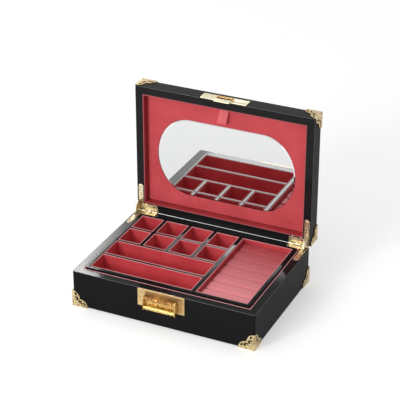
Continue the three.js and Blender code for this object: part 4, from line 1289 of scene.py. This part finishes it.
# %% [markdown]
# Light
# The light is that of a white studio. A large softbox stands in front on the left, so the left
# walls of the compartments fall in shade. The sky is brighter overhead than at the horizon,
# and brighter on the left. A strip of light hangs far behind on the left, just where the left
# rim of the case mirrors it towards the camera, and makes that rim shine. A second, shorter
# one goes on with it at the rim's corner.


# %% Set up the floor and the sky
def looked_at(nodes):
    """1 for rays from the camera, also by way of metal or glass, and 0 for those that light things."""
    seen, shone, passed = (nodes.node("ShaderNodeLightPath", output=name)
                           for name in ("Is Camera Ray", "Is Glossy Ray", "Is Transmission Ray"))
    return seen + shone + passed


FLOOR_SIDE, FLOOR_LIFT = 12, 0.36
bpy.ops.object.select_all(action="DESELECT")
bpy.ops.mesh.primitive_plane_add(size=FLOOR_SIDE)
floor = bpy.context.object
floor.name = "studio_floor"
ground = Finish("pale_floor", base_color=grey(0.82), roughness=0.9, specular_ior_level=0)
lifted = ground.node("ShaderNodeEmission", {}, {"Strength": FLOOR_LIFT})
shade = Wire(ground, ground.shader.outputs[0])
lit = ground.node("ShaderNodeAddShader", {}, {0: shade, 1: lifted})
both = ground.node("ShaderNodeMixShader", {}, {0: looked_at(ground), 1: shade, 2: lit})
ground.links.new(both.socket, ground.nodes["Material Output"].inputs["Surface"])
floor.data.materials.append(ground.material)

world = bpy.context.scene.world or bpy.data.worlds.new("studio")
bpy.context.scene.world = world
sky = Nodes(world)
sky.nodes.clear()
direction = sky.node("ShaderNodeTexCoord", output="Generated")
height, across_view = sky.split(direction, "Z"), sky.split(direction, "X")
level = sky.fit(height, 0.3, 1, 0.43, 1.02) * sky.fit(across_view, -1, 1, 1.3, 0.5)
room = sky.node("ShaderNodeBackground", {}, {"Color": grey(1), "Strength": level})
white = sky.node("ShaderNodeBackground", {}, {"Color": grey(1), "Strength": 1})
around = sky.node("ShaderNodeMixShader", {}, {0: looked_at(sky), 1: room, 2: white})
sky.links.new(around.socket, sky.nodes.new("ShaderNodeOutputWorld").inputs["Surface"])


# %% Set up the lamps
def facing(view, roll):
    """The turn of a lamp that looks back along a view, rolled about it by an angle in degrees."""
    return view.to_track_quat("Z", "Y").to_matrix() @ Matrix.Rotation(math.radians(roll), 3, "Z")


def lamp(name, aim, view, size, radiance, roll=0):
    """A rectangular lamp that stands at aim + view. It is given by its radiance, so its size can change."""
    bpy.ops.object.select_all(action="DESELECT")
    bpy.ops.object.light_add(type="AREA", location=aim + view)
    light = bpy.context.object
    light.name = name
    light.data.shape = "RECTANGLE"
    light.data.size, light.data.size_y = size
    light.data.energy = radiance * math.pi * size[0] * size[1]
    light.rotation_euler = facing(view, roll).to_euler()
    return light


# The strips hang 3 m behind the left rim, 29.5 degrees to its left and 29 degrees up.
STRIP_ROLL, STRIP_AWAY = 41.6, 3
side_turn, climb = math.radians(-29.5), math.radians(29)
rim_middle = Vector((-HALF_WIDTH, 0, RIM)) * MM
mirrored_view = Vector((math.sin(side_turn) * math.cos(climb), math.cos(side_turn) * math.cos(climb),
                        math.sin(climb))) * STRIP_AWAY
strip_axes = facing(mirrored_view, STRIP_ROLL).transposed()


def rim_strip(name, along_rim, across_rim, radiance, back_share, turn=0):
    """A strip of light that a rim mirrors, given by two ranges and dimmed to one end."""
    offset = Matrix.Rotation(math.radians(turn), 2) @ Vector((sum(along_rim) / 2, sum(across_rim) / 2))
    aim = rim_middle + strip_axes[0] * offset.x + strip_axes[1] * offset.y
    size = (along_rim[1] - along_rim[0], across_rim[1] - across_rim[0])
    glow = Nodes(lamp(name, aim, mirrored_view, size, radiance, STRIP_ROLL + turn).data)
    ends = glow.split(glow.node("ShaderNodeNewGeometry", output="Parametric"), "X")
    glow.links.new(glow.fit(ends, 0, 1, back_share, 1).socket, glow.nodes["Emission"].inputs["Strength"])


# The softbox has a brighter core. The mirrored tray catches it, and the mirrored rim of the case does not.
CORE_ROLL, CORE_SHARE = 43.6, 0.99
softbox_aim = Vector((0, 0, 0.1))
softbox_view = Vector((-0.62, -1.9, 0.9)) - softbox_aim
softbox_axes = facing(softbox_view, 0).transposed()
core = Matrix.Rotation(math.radians(CORE_ROLL), 2) @ Vector((-0.012, 0.255))
core_aim = softbox_aim + softbox_axes[0] * core.x + softbox_axes[1] * core.y
lamp("front_softbox", softbox_aim, softbox_view, (0.85, 0.85), 7.5)
lamp("softbox_core", core_aim, softbox_view * CORE_SHARE, (0.30, 0.34), 17, CORE_ROLL)
rim_strip("rim_strip", (-0.125, 0.2), (-0.06, 0.049), 33, 0.08)
rim_strip("rim_corner_strip", (0.1285, 0.185), (-0.036, 0.029), 30, 1, 32.2)

bpy.context.scene.view_settings.view_transform = "Standard"
